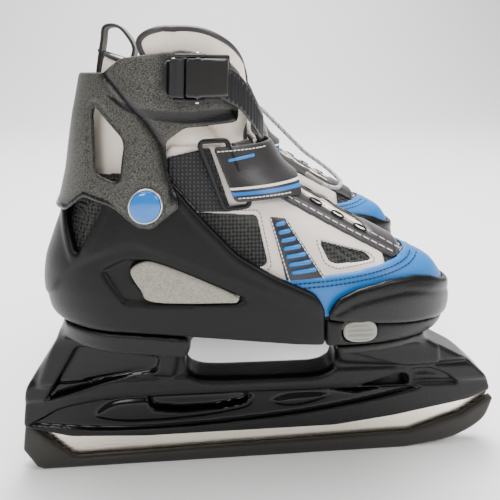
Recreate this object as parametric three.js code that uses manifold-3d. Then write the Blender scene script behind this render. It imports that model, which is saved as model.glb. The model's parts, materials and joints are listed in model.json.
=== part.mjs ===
// A pair of size-adjustable ice skates with hard shells, hinged cuffs, ratchet buckles and blade guards.
// Millimetres. +X is towards the toes, +Y to the skater's left, +Z up. The blade guards stand on z = 0,
// and the origin is under the middle of the pair.
import * as THREE from "three";
import { mergeVertices } from "three/addons/utils/BufferGeometryUtils.js";
import Module from "manifold-3d";

// ---------------------------------------------------------------- driving dimensions
const BOOT_LENGTH = 246; // heel of the shell to the tip of the toe cap
const BOOT_HEIGHT = 165; // sole line under the ball of the foot to the rim of the collar
const FOOT_HALF_WIDTH = 33.5; // inner boot at the ball of the foot
const SOLE_Z = 79.5; // underside of the shell at the parting between the heel and toe sections
const SOLE_PITCH = 0.085; // fall of the sole from heel to toe, per mm
const HEEL_X = -119.6; // rearmost point of the shell
const PARTING_X = 38; // rear end of the sliding toe section
const PIVOT = { x: -58, z: 157 }; // cuff hinge
const UPPER_WALL = 2.0;
const BAND_WALL = 1.5;
const SHELL_WALL = 4.5;
const CUFF_WALL = 3.4;
const STRAP_WALL = 2.2;
const GAP = 0.3; // between pieces that touch
const RUNNING_GAP = 0.5; // between pieces that slide or turn on each other
const BLADE_THICKNESS = 3.0;
const BLADE_FOOT_Z = 3.3; // bottom of the blade, above the floor of the guard
const GUARD_HALF_WIDTH = 5.5;
const GUARD_WALL_TOP = 8.0;
const HOLDER_FOOT_Z = 16.5;
const BEAM_TOP_Z = 47;
const BEAM_HALF_WIDTH = 8.5;
const TOWER_HALF_WIDTH = 12;
const PLATE_HALF_WIDTH = 33;
const PLATE_DEPTH = 11;
const PIVOT_SHANK_R = 4.8;
const PIVOT_CAP_R = 9.2;
const LACE_R = 1.7;
const SLOT_HALF_WIDTH = 11; // lacing gap in the upper
const STRAP_LOW_Z = 155; // instep strap
const STRAP_WIDTH = 32;
const LADDER_WIDTH = 20.5;
const SKATE_SPACING = 137; // blade to blade, at the origin of each skate
const LEFT_FORWARD = 8;
const LEFT_TOE_IN = 8; // degrees

// ---------------------------------------------------------------- solids
const wasm = await Module();
wasm.setup();

function solid(geometry) {
  const bare = geometry.index ? geometry.toNonIndexed() : geometry.clone();
  bare.deleteAttribute("normal");
  bare.deleteAttribute("uv");
  const merged = mergeVertices(bare, 1e-4);
  return new wasm.Manifold(
    new wasm.Mesh({
      numProp: 3,
      vertProperties: new Float32Array(merged.attributes.position.array),
      triVerts: new Uint32Array(merged.index.array),
    }),
  );
}

function geometryOf(body) {
  const mesh = body.getMesh();
  const geometry = new THREE.BufferGeometry();
  geometry.setAttribute("position", new THREE.BufferAttribute(new Float32Array(mesh.vertProperties), 3));
  geometry.setIndex(new THREE.BufferAttribute(new Uint32Array(mesh.triVerts), 1));
  const flat = geometry.toNonIndexed();
  flat.computeVertexNormals();
  return flat;
}

const shapeOf = (points) => new THREE.Shape(points.map(([u, v]) => new THREE.Vector2(u, v)));

// An outline in (x, z), extruded from y = low to y = high.
function side(outline, low = -80, high = 80) {
  const shape = Array.isArray(outline) ? shapeOf(outline) : outline;
  const options = { depth: high - low, bevelEnabled: false, curveSegments: 4 };
  const geometry = new THREE.ExtrudeGeometry(shape, options);
  return solid(geometry.rotateX(Math.PI / 2).translate(0, high, 0));
}

// An outline in (x, y), extruded from z = low to z = high.
function plan(outline, low, high) {
  const shape = Array.isArray(outline) ? shapeOf(outline) : outline;
  const options = { depth: high - low, bevelEnabled: false, curveSegments: 5 };
  const geometry = new THREE.ExtrudeGeometry(shape, options);
  return solid(geometry.translate(0, 0, low));
}

function box(x0, x1, y0, y1, z0, z1) {
  const geometry = new THREE.BoxGeometry(x1 - x0, y1 - y0, z1 - z0);
  return solid(geometry.translate((x0 + x1) / 2, (y0 + y1) / 2, (z0 + z1) / 2));
}

// A round bar along y, and one along z.
const barY = (x, z, r, y0, y1, sides = 14) =>
  solid(new THREE.CylinderGeometry(r, r, y1 - y0, sides).translate(x, (y0 + y1) / 2, z));
const barZ = (x, y, r, z0, z1, sides = 12) =>
  solid(new THREE.CylinderGeometry(r, r, z1 - z0, sides).rotateX(Math.PI / 2).translate(x, y, (z0 + z1) / 2));

function ellipse(x, z, rx, rz) {
  const shape = new THREE.Shape();
  shape.absellipse(x, z, rx, rz, 0, Math.PI * 2);
  return shape;
}

// ---------------------------------------------------------------- the inner boot's form
// The boot that the level sections and outlines are drawn for. Another size lengthens it ahead of the
// parting, raises it above riseFrom and widens it all over.
const DRAWN = { length: 246, height: 165, halfWidth: 33.5, toeSpan: 80, riseFrom: 110 };
const STRETCH = (BOOT_LENGTH - DRAWN.length) / DRAWN.toeSpan;
const RISE = BOOT_HEIGHT / DRAWN.height - 1;
const WIDEN = FOOT_HALF_WIDTH - DRAWN.halfWidth;
const lift = (z) => (z < DRAWN.riseFrom ? z : z + (z - DRAWN.riseFrom) * RISE);
const ahead = (x) => (x > PARTING_X ? x + STRETCH * (x - PARTING_X) : x);
const soleZ = (x) => SOLE_Z - SOLE_PITCH * (x - PARTING_X);
const TOE_X = HEEL_X + BOOT_LENGTH;

// Level sections: height, heel, toe, half width at the heel and at the ball, length of the front curve.
const HEEL = HEEL_X + SHELL_WALL + UPPER_WALL + 2 * GAP;
const LEVELS = [
  [60, HEEL + 9, 106, 25, 30, 90],
  [84, HEEL + 3.5, 116.5, 28, 32.8, 98],
  [99, HEEL + 0.5, 117.5, 31, 33.5, 99],
  [110, HEEL, 110, 32, 33.2, 93],
  [121, HEEL + 1, 88, 32, 32.4, 76],
  [138, HEEL + 4.5, 58, 32.5, 31.7, 59],
  [155, HEEL + 8, 30, 32.5, 31, 47],
  [172, HEEL + 11, 8, 32.5, 31, 40],
  [190, HEEL + 13.5, -2, 33, 31, 36],
  [212, HEEL + 17, -6.5, 34, 31, 34],
  [266, HEEL + 24, -14, 35, 31, 34],
].map(([z, heel, toe, heelHalf, ballHalf, nose]) => ({
  z: lift(z),
  heel,
  toe: ahead(toe),
  heelHalf: heelHalf + WIDEN,
  ballHalf: ballHalf + WIDEN,
  nose: nose + (ahead(toe) - toe),
}));
const HEEL_CURVE = 40;
const TOE_SHIFT = 4; // the big toe's side reaches further than the little toe's
const QUARTER = 4; // steps in a quarter of the outline

function levelAt(z) {
  const last = LEVELS.length - 1;
  const k = Math.min(Math.max(LEVELS.findIndex((l) => l.z >= z), 1), last) || last;
  const t = (z - LEVELS[k - 1].z) / (LEVELS[k].z - LEVELS[k - 1].z);
  return Object.fromEntries(
    Object.keys(LEVELS[0]).map((key) => [key, LEVELS[k - 1][key] + t * (LEVELS[k][key] - LEVELS[k - 1][key])]),
  );
}

// How far a piece's surface stands off the form at the heel, sides and front; one number means all three.
const offsetAt = (off, z) => {
  const o = typeof off === "function" ? off(z) : off;
  return typeof o === "number" ? { heel: o, side: o, front: o } : o;
};

function ring(z, off) {
  const l = levelAt(z);
  const o = offsetAt(off, z);
  const ball = l.toe - l.nose;
  const rear = l.heel + HEEL_CURVE;
  const front = (a) => {
    const c = Math.cos(a);
    const shift = TOE_SHIFT * c * c * (l.nose / 100);
    return [ball + (l.nose + o.front) * c, (l.ballHalf + o.side) * Math.sin(a) + shift];
  };
  const back = (a) => [rear + (HEEL_CURVE + o.heel) * Math.cos(a), (l.heelHalf + o.side) * Math.sin(a)];
  const points = [];
  for (let i = 0; i <= QUARTER; i += 1) points.push(front(((Math.PI / 2) * i) / QUARTER));
  for (let i = 0; i <= 2 * QUARTER; i += 1) points.push(back(Math.PI / 2 + ((Math.PI / 2) * i) / QUARTER));
  for (let i = 0; i < QUARTER; i += 1) points.push(front(-Math.PI / 2 + ((Math.PI / 2) * i) / QUARTER));
  return points;
}

// The form between two heights, grown by an offset: a cylinder whose rows are drawn out to the level sections.
function form(low, high, off) {
  const heights = [low, ...LEVELS.map((l) => l.z).filter((z) => z > low + 0.5 && z < high - 0.5), high];
  const rings = heights.map((z) => ring(z, off));
  const around = rings[0].length;
  const rows = heights.length - 1;
  const geometry = new THREE.CylinderGeometry(1, 1, rows, around, rows);
  const p = geometry.attributes.position;
  for (let v = 0; v < p.count; v += 1) {
    const row = Math.round(p.getY(v) + rows / 2);
    const onAxis = Math.hypot(p.getX(v), p.getZ(v)) < 0.5;
    const turn = Math.atan2(p.getX(v), p.getZ(v)) / (2 * Math.PI);
    const i = (Math.round(turn * around) + around) % around;
    const l = levelAt(heights[row]);
    const [x, y] = onAxis ? [(l.heel + l.toe) / 2, 0] : rings[row][i];
    p.setXYZ(v, x, y, heights[row]);
  }
  return solid(geometry);
}

const layer = (low, high, inner, outer) => form(low, high, outer).subtract(form(low - 1, high + 1, inner));

// Half width of the grown form at a place, measured on the outer (little toe) side, which is -Y.
function outerY(x, z, off) {
  const points = ring(z, off).filter(([, y]) => y <= 0.01);
  for (let i = 1; i < points.length; i += 1) {
    const [x0, y0] = points[i - 1];
    const [x1, y1] = points[i];
    if ((x0 - x) * (x1 - x) <= 0 && x0 !== x1) return y0 + ((y1 - y0) * (x - x0)) / (x1 - x0);
  }
  throw new Error(`no wall at x ${x}`);
}

// Offsets of the nested surfaces, from the inner boot outwards.
const UPPER_IN = GAP;
const UPPER_OUT = UPPER_IN + UPPER_WALL;
const BAND_IN = UPPER_OUT + GAP;
const BAND_OUT = BAND_IN + BAND_WALL;
const SHELL_IN = BAND_IN;
const SHELL_OUT = SHELL_IN + SHELL_WALL;
const RAIL_OUT = SHELL_IN + 1.4;
const RAIL_ROOM = RAIL_OUT + 1.7; // the form narrows forwards, so the rails need room to slide out
const CAP_IN = BAND_OUT + GAP;
const CAP_OUT = SHELL_OUT + 1.2;
const STRAP_IN = BAND_OUT + GAP;
const ramp = (z, a, b, low, high) => {
  const t = Math.min(Math.max((z - lift(low)) / (lift(high) - lift(low)), 0), 1);
  return a + (b - a) * t;
};
// The cuff clears the shell where they overlap, and above it closes in on the soft boot at the sides.
const CUFF_TURN = { low: 170, high: 205, heel: SHELL_OUT + 3, side: UPPER_OUT + 2 };
const cuffIn = (extra) => (z) => {
  const { low, high } = CUFF_TURN;
  const side = ramp(z, SHELL_OUT + RUNNING_GAP, CUFF_TURN.side, low, high) + extra;
  return { heel: ramp(z, SHELL_OUT + RUNNING_GAP, CUFF_TURN.heel, low, high) + extra, side, front: side };
};
const LINER_WALL = 7;
const FLOOR = 7.3; // shell floor, above the sole line
const TONGUE_PLATE = { halfWidth: 14, depth: 4, front: ahead(92) };

// A strip along the sole line: from x0 to x1, between two heights above it.
const soleStrip = (x0, x1, low, high) => [
  [x0, soleZ(x0) + low],
  [x1, soleZ(x1) + low],
  [x1, soleZ(x1) + high],
  [x0, soleZ(x0) + high],
];
const aboveSole = (height) => side(soleStrip(-200, TOE_X + 60, height, 320));
const at = (points) => points.map(([x, z]) => [ahead(x), lift(z)]);

// ---------------------------------------------------------------- blade, guard and holder
const NOSE_X = TOE_X + 24;
const bladeFoot = (grow) => [
  [-129 - grow, 22 - grow],
  [-128 - grow, 13 - grow],
  [-122 - grow, 6 - grow],
  [-112, BLADE_FOOT_Z - grow],
  [NOSE_X - 56, BLADE_FOOT_Z - grow],
  [NOSE_X - 26, 7.5 - grow],
  [NOSE_X - 8 + grow, 16 - grow],
  [NOSE_X + grow, 26 - grow],
];
const bladeTop = (grow) => [
  [NOSE_X - 1 + grow, 34 + grow],
  [NOSE_X - 14, 32 + grow],
  [NOSE_X - 62, 24 + grow],
  [-104, 24 + grow],
  [-128 - grow, 30 + grow],
];
const blade = () => side([...bladeFoot(0), ...bladeTop(0)], -BLADE_THICKNESS / 2, BLADE_THICKNESS / 2);
const bladeSlot = () => {
  const half = BLADE_THICKNESS / 2 + GAP;
  return side([...bladeFoot(GAP), ...bladeTop(GAP)], -half, half);
};

function bladeGuard() {
  const outline = [
    [-133, 24],
    [-132.5, 12],
    [-125.5, 3],
    [-114, 0],
    [NOSE_X - 55, 0],
    [NOSE_X - 24, 4],
    [NOSE_X - 4, 13],
    [NOSE_X + 4, 25],
    [NOSE_X + 1, 27],
    [NOSE_X - 17, 17],
    [NOSE_X - 50, GUARD_WALL_TOP + 1],
    [-102, GUARD_WALL_TOP],
    [-118, 15],
    [-127.5, 25],
  ];
  return side(outline, -GUARD_HALF_WIDTH, GUARD_HALF_WIDTH).subtract(bladeSlot());
}

const HEEL_BOLT_X = -82;
const TOE_BOLT_X = 70;
const BOLT = { headR: 5.5, shankR: 2.6, head: 2.6, shank: 15 };

function holder() {
  const profile = [
    [-110, soleZ(-110) - PLATE_DEPTH],
    [-128, BEAM_TOP_Z],
    [-131, 27],
    [-118, 20],
    [-60, HOLDER_FOOT_Z],
    [52, HOLDER_FOOT_Z],
    [NOSE_X - 62, 20],
    [NOSE_X - 14, 27],
    [NOSE_X + 1, 32],
    [NOSE_X - 1, 40],
    [NOSE_X - 14, 52],
    [TOE_X - 14, soleZ(TOE_X - 14) - PLATE_DEPTH + 4],
    [50, soleZ(50) - PLATE_DEPTH + 4],
  ];
  const window = [
    [-34, soleZ(-34) + 40],
    [-34, 70],
    [-38, 54],
    [-33, BEAM_TOP_Z + 1],
    [-20, BEAM_TOP_Z],
    [42, BEAM_TOP_Z - 1],
    [51, BEAM_TOP_Z + 2],
    [53, 56],
    [48, 66],
    [48, soleZ(48) + 40],
  ];
  const plates = [
    side(soleStrip(-108, -34, -PLATE_DEPTH - 1, -GAP), -PLATE_HALF_WIDTH, PLATE_HALF_WIDTH),
    side(soleStrip(48, TOE_X - 18, -5, -GAP), -PLATE_HALF_WIDTH + 2, PLATE_HALF_WIDTH - 2),
  ].map((plate) => plate.intersect(form(60, 110, SHELL_OUT - 3)));
  const flare = 4;
  const towers = [
    [
      [-109, soleZ(-109) - PLATE_DEPTH],
      [-122, BEAM_TOP_Z],
      [-44, BEAM_TOP_Z - flare],
      [-36, soleZ(-36) - PLATE_DEPTH],
    ],
    [
      [49, soleZ(49) - flare],
      [53, BEAM_TOP_Z - flare],
      [NOSE_X - 18, BEAM_TOP_Z - flare],
      [TOE_X - 19, soleZ(TOE_X - 19) - flare],
    ],
  ].map((outline) => side(outline, -TOWER_HALF_WIDTH, TOWER_HALF_WIDTH));
  const pocket = [
    [-100, 71],
    [-62, 65],
    [-64, 55],
    [-80, 58],
    [-112, 48],
  ];
  const leaf = [
    [-124, 36],
    [-95, 43],
    [-55, 42],
    [10, 37],
    [70, 36],
    [10, 29],
    [-60, 28],
    [-95, 31],
  ];
  const tip = [
    [66, 39],
    [97, 45],
    [97, 37],
  ];
  const pockets = [-1, 1].flatMap((s) => {
    const cut = (outline, face, deep) => {
      const ys = [s * (face - deep), s * (face + 2)].sort((a, b) => a - b);
      return side(outline, ys[0], ys[1]);
    };
    return [cut(pocket, TOWER_HALF_WIDTH, 4), cut(leaf, BEAM_HALF_WIDTH, 2.5), cut(tip, TOWER_HALF_WIDTH, 5)];
  });
  let body = side(profile, -BEAM_HALF_WIDTH, BEAM_HALF_WIDTH);
  for (const block of towers) body = body.add(block);
  body = body.subtract(side(window));
  for (const plate of plates) body = body.add(plate);
  for (const cut of pockets) body = body.subtract(cut);
  body = body.subtract(bladeSlot());
  for (const x of [HEEL_BOLT_X, TOE_BOLT_X]) {
    const top = soleZ(x);
    body = body.subtract(barZ(x, 0, BOLT.shankR + GAP, top - BOLT.shank + BOLT.head, top + 5));
  }
  return body;
}

function soleBolt(x, headTop) {
  const shank = barZ(x, 0, BOLT.shankR, headTop - BOLT.shank, headTop - 1, 12);
  return shank.add(barZ(x, 0, BOLT.headR, headTop - BOLT.head, headTop));
}

// ---------------------------------------------------------------- shells
const PARTING_FALL = 18.56; // how far the parting line falls from PARTING_X to the tip
const partingZ = (x) => 98 - (PARTING_FALL * (x - PARTING_X)) / (TOE_X - PARTING_X);
const CHEEK = at([
  [PARTING_X, 100],
  [34, 108],
  [13, 116],
  [-8, 128],
  [-29, 149],
  [-38, 159],
  [-46, 168],
  [-70, 168],
  [-90, 160],
  [-140, 152],
]);
const INLAY = at([
  [-67, 121],
  [-60, 126],
  [-40, 122],
  [-8, 107],
  [-9, 102],
  [-54, 104],
]);
const INLAY_DEPTH = 1.2;

function insetOf(outline, gap) {
  const cx = outline.reduce((sum, [x]) => sum + x, 0) / outline.length;
  const cz = outline.reduce((sum, [, z]) => sum + z, 0) / outline.length;
  return outline.map(([x, z]) => {
    const reach = Math.hypot(x - cx, z - cz);
    const k = (reach - gap) / reach;
    return [cx + (x - cx) * k, cz + (z - cz) * k];
  });
}

function rearShell() {
  const outline = [[-140, soleZ(-140)], [PARTING_X, soleZ(PARTING_X)], ...CHEEK];
  const top = lift(172);
  let body = form(62, top, SHELL_OUT).intersect(side(outline));
  body = body.subtract(form(60, top + 2, SHELL_IN).intersect(aboveSole(FLOOR)));
  const railRoom = side([
    [8, soleZ(8) + FLOOR - 0.4],
    [PARTING_X + 5, soleZ(PARTING_X + 5) + FLOOR - 0.4],
    [PARTING_X + 5, 99],
    [8, 99],
  ]);
  body = body.subtract(form(62, 100, RAIL_ROOM).intersect(railRoom));
  const plate = side(soleStrip(PARTING_X - 4, TONGUE_PLATE.front, 0, TONGUE_PLATE.depth));
  body = body.add(plate.intersect(box(0, 400, -TONGUE_PLATE.halfWidth, TONGUE_PLATE.halfWidth, 0, 200)));
  body = body.subtract(barY(PIVOT.x, lift(PIVOT.z), PIVOT_SHANK_R + GAP, -90, 90));
  body = body.subtract(
    layer(90, lift(130), SHELL_OUT - INLAY_DEPTH, SHELL_OUT + 5).intersect(side(INLAY, -90, 0)),
  );
  const heads = [
    [HEEL_BOLT_X, soleZ(HEEL_BOLT_X) + FLOOR],
    [TOE_BOLT_X, soleZ(TOE_BOLT_X) + TONGUE_PLATE.depth],
  ];
  for (const [x, top] of heads) {
    body = body.subtract(barZ(x, 0, BOLT.headR + GAP, top - BOLT.head - 1.2, top + 6));
    body = body.subtract(barZ(x, 0, BOLT.shankR + GAP, 40, top + 2));
  }
  return body;
}

function shellInlay() {
  const plate = layer(90, lift(130), SHELL_OUT - INLAY_DEPTH + GAP, SHELL_OUT + 0.2);
  return plate.intersect(side(insetOf(INLAY, 2 * GAP), -90, 0));
}

const BUTTON = { x: 54, z: 86.6, rx: 9.5, rz: 5.4, proud: 1.6, depth: 1.3 };
const buttonFace = outerY(BUTTON.x, BUTTON.z, SHELL_OUT);

function toeShell() {
  const outline = [
    [PARTING_X + GAP, soleZ(PARTING_X)],
    [TOE_X + 20, soleZ(TOE_X + 20)],
    [TOE_X + 20, partingZ(TOE_X + 20)],
    [PARTING_X + GAP, partingZ(PARTING_X)],
  ];
  let body = form(62, 110, SHELL_OUT).intersect(side(outline));
  body = body.subtract(form(60, 112, SHELL_IN).intersect(aboveSole(FLOOR)));
  const rail = side([
    [12, soleZ(12) + FLOOR],
    [PARTING_X + 6, soleZ(PARTING_X + 6) + FLOOR],
    [PARTING_X + 6, 95],
    [12, 97],
  ]);
  body = body.add(layer(62, 105, SHELL_IN + GAP, RAIL_OUT).intersect(rail));
  const half = TONGUE_PLATE.halfWidth + GAP;
  body = body.subtract(
    side(soleStrip(0, TONGUE_PLATE.front + GAP, -10, TONGUE_PLATE.depth + GAP), -half, half),
  );
  return body.subtract(side(ellipse(BUTTON.x, BUTTON.z, BUTTON.rx + GAP, BUTTON.rz + GAP), -90, 0));
}

function sizeButton() {
  const outline = ellipse(BUTTON.x, BUTTON.z, BUTTON.rx, BUTTON.rz);
  return side(outline, buttonFace - BUTTON.proud, buttonFace + BUTTON.depth);
}

function toeCap() {
  const outline = [
    [PARTING_X + 0.6, partingZ(PARTING_X) + GAP],
    [TOE_X + 20, partingZ(TOE_X + 20) + GAP],
    [TOE_X + 20, 130],
    [ahead(112), 122],
    [ahead(99), 117.5],
    [ahead(83), 115.5],
    [ahead(67), 112],
    [ahead(51), 106.5],
    [ahead(42), 101],
  ];
  return layer(66, lift(128), CAP_IN, CAP_OUT).intersect(side(outline));
}

function toeVamp() {
  const outline = at([
    [42, 99],
    [60, 99],
    [140, 90],
    [140, 136],
    [106, 130],
    [95, 126],
    [60, 121],
    [19, 117],
    [19, 115],
    [35, 109],
  ]);
  return layer(80, lift(138), BAND_IN, BAND_OUT).intersect(side(outline));
}

// ---------------------------------------------------------------- soft boot
const slotBox = (half, x0, x1) => box(x0, x1, -half, half, lift(113), lift(230));

function upper() {
  const outline = [
    [-140, soleZ(-140) + FLOOR + GAP],
    [TOE_X + 30, soleZ(TOE_X + 30) + FLOOR + GAP],
    ...at([
      [150, 130],
      [60, 187],
      [-46, 187],
      [-62, 174],
      [-140, 166],
    ]),
  ];
  const body = layer(64, lift(190), UPPER_IN, UPPER_OUT).intersect(side(outline));
  return body.subtract(slotBox(SLOT_HALF_WIDTH, -40, ahead(86)));
}

function eyestay() {
  const outline = at([
    [-16, 187],
    [-16, 160],
    [20, 140],
    [60, 122],
    [95, 127],
    [105, 131],
    [60, 190],
  ]);
  const half = SLOT_HALF_WIDTH + 9;
  const body = layer(lift(112), lift(190), BAND_IN, BAND_OUT).intersect(side(outline));
  return body.intersect(box(-60, 200, -half, half, 0, 400)).subtract(slotBox(SLOT_HALF_WIDTH, -60, ahead(74)));
}

const TONGUE_REAR = at([
  [86, 112],
  [62, 122],
  [34, 138],
  [8, 156],
  [-14, 176],
  [-24, 198],
  [-50, 208],
  [-62, 232],
  [-70, 250],
]);
const tongueZone = (shift) =>
  side([
    ...TONGUE_REAR.map(([x, z]) => [x + shift, z]),
    [-60 + shift, lift(262)],
    [60, lift(262)],
    [160, lift(150)],
    [160, lift(112)],
  ]);

function liner() {
  const collar = at([
    [-40, 216],
    [-60, 231],
    [-84, 239],
    [-96, 244],
    [-140, 244],
  ]);
  const outline = [
    [-140, soleZ(-140) + FLOOR + GAP],
    [TOE_X + 30, soleZ(TOE_X + 30) + FLOOR + GAP],
    [TOE_X + 30, lift(216)],
    ...collar,
  ];
  const top = lift(250);
  const outer = form(64, top, 0).intersect(side(outline));
  const inner = form(62, top + 2, -LINER_WALL).intersect(aboveSole(FLOOR + 4));
  return outer.subtract(inner).subtract(tongueZone(-0.5));
}

function tongue() {
  const outside = (z) => {
    const grow = ramp(z, 0, 4, 190, 206);
    return { heel: grow, side: ramp(z, 0, 1.5, 190, 206), front: grow };
  };
  const rim = at([
    [-66, 250],
    [-54, 255.5],
    [-30, 256],
    [-8, 247],
    [4, 228],
    [40, 200],
    [160, 120],
    [160, 60],
    [-66, 60],
  ]);
  const body = layer(lift(108), lift(262), -6, outside).intersect(tongueZone(0));
  return body.intersect(side(rim));
}

const footbed = () =>
  form(64, 130, -LINER_WALL - 0.4).intersect(side(soleStrip(-140, TOE_X + 40, FLOOR + 4.3, FLOOR + 7.3)));

// A webbing band that is sewn to both faces of the collar and stands up over its edge as an arch.
const LOOP = { low: 222, top: 259, halfWidth: 7, wall: 1.8, crown: 6, lean: 3 };
function pullLoop() {
  const collarTop = lift(244);
  const outerX = levelAt(lift(LOOP.low)).heel - GAP - LOOP.wall;
  const innerX = levelAt(collarTop).heel + LINER_WALL + 1.2 + LOOP.wall;
  const mid = (outerX + innerX) / 2;
  const crown = lift(LOOP.top);
  const arch = (inset, end) => [
    [outerX + inset, end],
    [outerX + inset + LOOP.lean, collarTop],
    [mid - LOOP.crown + inset, crown - inset],
    [mid + LOOP.crown - inset, crown - inset],
    [innerX - inset, collarTop],
    [innerX - inset, end],
  ];
  const low = lift(LOOP.low);
  const body = side(arch(0, low), -LOOP.halfWidth, LOOP.halfWidth).subtract(side(arch(LOOP.wall, low - 1)));
  const collarWall = layer(lift(150), collarTop - 0.5, -LINER_WALL - GAP, GAP);
  return body.subtract(collarWall);
}

// ---------------------------------------------------------------- instep strap
const strapTop = STRAP_LOW_Z + STRAP_WIDTH;

function instepWebbing() {
  const outline = at([
    [-48, STRAP_LOW_Z - 4],
    [-23, STRAP_LOW_Z],
    [-23, strapTop - 2],
    [-48, strapTop - 6],
  ]);
  const shellEdge = form(62, lift(172), SHELL_OUT + GAP).intersect(side([[-200, 60], [60, 60], ...CHEEK]));
  return layer(lift(148), lift(190), BAND_IN, BAND_OUT)
    .intersect(side(outline, -90, 0))
    .subtract(shellEdge);
}

const STRAP_BULGE = 12.5; // the strap bridges the lacing gap
const strapOff = (extra) => ({ heel: STRAP_IN + extra, side: STRAP_IN + extra, front: STRAP_BULGE + extra });

function strapPad() {
  const outline = at([
    [-21, STRAP_LOW_Z],
    [90, STRAP_LOW_Z],
    [90, strapTop],
    [-21, strapTop],
  ]);
  return layer(lift(150), lift(192), strapOff(0), strapOff(3)).intersect(side(outline));
}

function strapRing() {
  const low = lift(STRAP_LOW_Z - 3);
  const high = lift(strapTop + 3);
  const [x0, x1, corner, bar] = [-28, -11, 4, 3];
  const rounded = (g) => {
    const shape = new THREE.Shape();
    shape.absarc(x1 - corner, high - corner, corner - g, 0, Math.PI / 2);
    shape.absarc(x0 + corner, high - corner, corner - g, Math.PI / 2, Math.PI);
    shape.absarc(x0 + corner, low + corner, corner - g, Math.PI, 1.5 * Math.PI);
    shape.absarc(x1 - corner, low + corner, corner - g, 1.5 * Math.PI, 2 * Math.PI);
    return shape;
  };
  const widest = Math.min(
    ...[low, (low + high) / 2, high].flatMap((z) => [x0, x1].map((x) => outerY(x, z, strapOff(3)))),
  );
  const outer = side(rounded(0), widest - GAP - bar, widest - GAP);
  return outer.subtract(side(rounded(bar)));
}

// ---------------------------------------------------------------- cuff, pivots and ratchet buckle
function cuff() {
  const outline = at([
    [-140, 147],
    [-104, 151],
    [-93, 160],
    [-77, 155],
    [-68, 145],
    [-56, 141],
    [-44, 146],
    [-39, 157],
    [-46, 172],
    [-48, 190],
    [-38, 197],
    [-7, 199],
    [-5, 228],
    [-15, 238],
    [-40, 242],
    [-75, 237],
    [-86, 229],
    [-140, 229],
  ]);
  const window = at([
    [-90, 209],
    [-71, 191],
    [-73, 169],
    [-86, 173],
  ]);
  return layer(lift(138), lift(246), cuffIn(0), cuffIn(CUFF_WALL))
    .intersect(side(outline))
    .subtract(side(window))
    .subtract(barY(PIVOT.x, lift(PIVOT.z), PIVOT_SHANK_R + RUNNING_GAP, -90, 90));
}

function pivotCap(inward) {
  const outer = -outerY(PIVOT.x, lift(PIVOT.z), cuffIn(CUFF_WALL)) + 0.6;
  const inner = -outerY(PIVOT.x, lift(PIVOT.z), SHELL_IN) + GAP;
  const dome = [
    [0, inner],
    [PIVOT_SHANK_R, inner],
    [PIVOT_SHANK_R, outer],
    [PIVOT_CAP_R, outer],
    [PIVOT_CAP_R, outer + 1],
  ];
  for (let i = 0; i <= 3; i += 1) {
    const a = (Math.PI / 2) * (i / 3);
    dome.push([(PIVOT_CAP_R - 1) * Math.cos(a), outer + 1.4 + 2.2 * Math.sin(a)]);
  }
  const profile = dome.map(([r, h]) => new THREE.Vector2(Math.max(r, 0), h));
  const lathe = new THREE.LatheGeometry(profile, 14);
  if (inward < 0) lathe.rotateZ(Math.PI);
  return solid(lathe.translate(PIVOT.x, 0, lift(PIVOT.z)));
}

const BUCKLE = { rear: -44, front: -12, low: 212, high: 218.5 + LADDER_WIDTH, plate: 2.0, rail: 2.2 };
const CUFF_FACE = CUFF_WALL + GAP;
const LADDER_IN = CUFF_FACE + BUCKLE.plate + GAP;
const LADDER_OUT = LADDER_IN + STRAP_WALL;
const LEVER_IN = LADDER_OUT + 0.4;
const LEVER_OUT = LEVER_IN + 4.2;
const AXLE_R = 1.25;
const AXLE_X = -31;
const PAWL_X = -39.5;
const WING_STEP = 1.3; // the cuff's wing stands this far off the buckle's level section at its widest
const PIN_GAP = 0.2;
const buckleMid = lift((BUCKLE.low + BUCKLE.high) / 2);
const pinY = (x) => outerY(x, buckleMid, cuffIn((LEVER_IN + LEVER_OUT) / 2)) - WING_STEP;
const rect = (x0, x1, z0, z1) => [
  [x0, z0],
  [x1, z0],
  [x1, z1],
  [x0, z1],
];
// The buckle's plates take their curve from the level section at its middle, so its pins stand square to them.
function curved(inner, outer, x0, x1, z0, z1) {
  const slice = (off, grow) => plan(ring(buckleMid, cuffIn(off + WING_STEP)), z0 - grow, z1 + grow);
  return slice(outer, 0).subtract(slice(inner, 1)).intersect(side(rect(x0, x1, z0 - 2, z1 + 2), -90, 0));
}

function buckleBase() {
  const low = lift(BUCKLE.low);
  const high = lift(BUCKLE.high);
  let body = curved(CUFF_FACE, CUFF_FACE + BUCKLE.plate, BUCKLE.rear, BUCKLE.front, low, high);
  for (const z of [low, high - BUCKLE.rail]) {
    body = body.add(curved(CUFF_FACE, LEVER_OUT, BUCKLE.rear, BUCKLE.front - 8, z, z + BUCKLE.rail));
  }
  for (const x of [AXLE_X, PAWL_X]) {
    body = body.subtract(barZ(x, pinY(x), AXLE_R + PIN_GAP, low - 5, high + 5));
  }
  return body;
}
const leverLow = lift(BUCKLE.low) + BUCKLE.rail + GAP;
const leverHigh = lift(BUCKLE.high) - BUCKLE.rail - GAP;

function buckleLever() {
  const y = pinY(AXLE_X);
  const r = (LEVER_OUT - LEVER_IN) / 2;
  return curved(LEVER_IN, LEVER_OUT, AXLE_X, BUCKLE.front - 1.5, leverLow, leverHigh)
    .add(barZ(AXLE_X, y, r, leverLow, leverHigh))
    .subtract(barZ(AXLE_X, y, AXLE_R + PIN_GAP, leverLow - 2, leverHigh + 2));
}

function bucklePawl() {
  const y = pinY(PAWL_X);
  return curved(LEVER_IN + 1, LEVER_IN + 3, BUCKLE.rear - 2, PAWL_X, leverLow, leverHigh)
    .add(barZ(PAWL_X, y, AXLE_R + 0.65, leverLow, leverHigh))
    .add(barZ(PAWL_X, y, AXLE_R, lift(BUCKLE.low) + 0.2, lift(BUCKLE.high) - 0.2));
}

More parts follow.
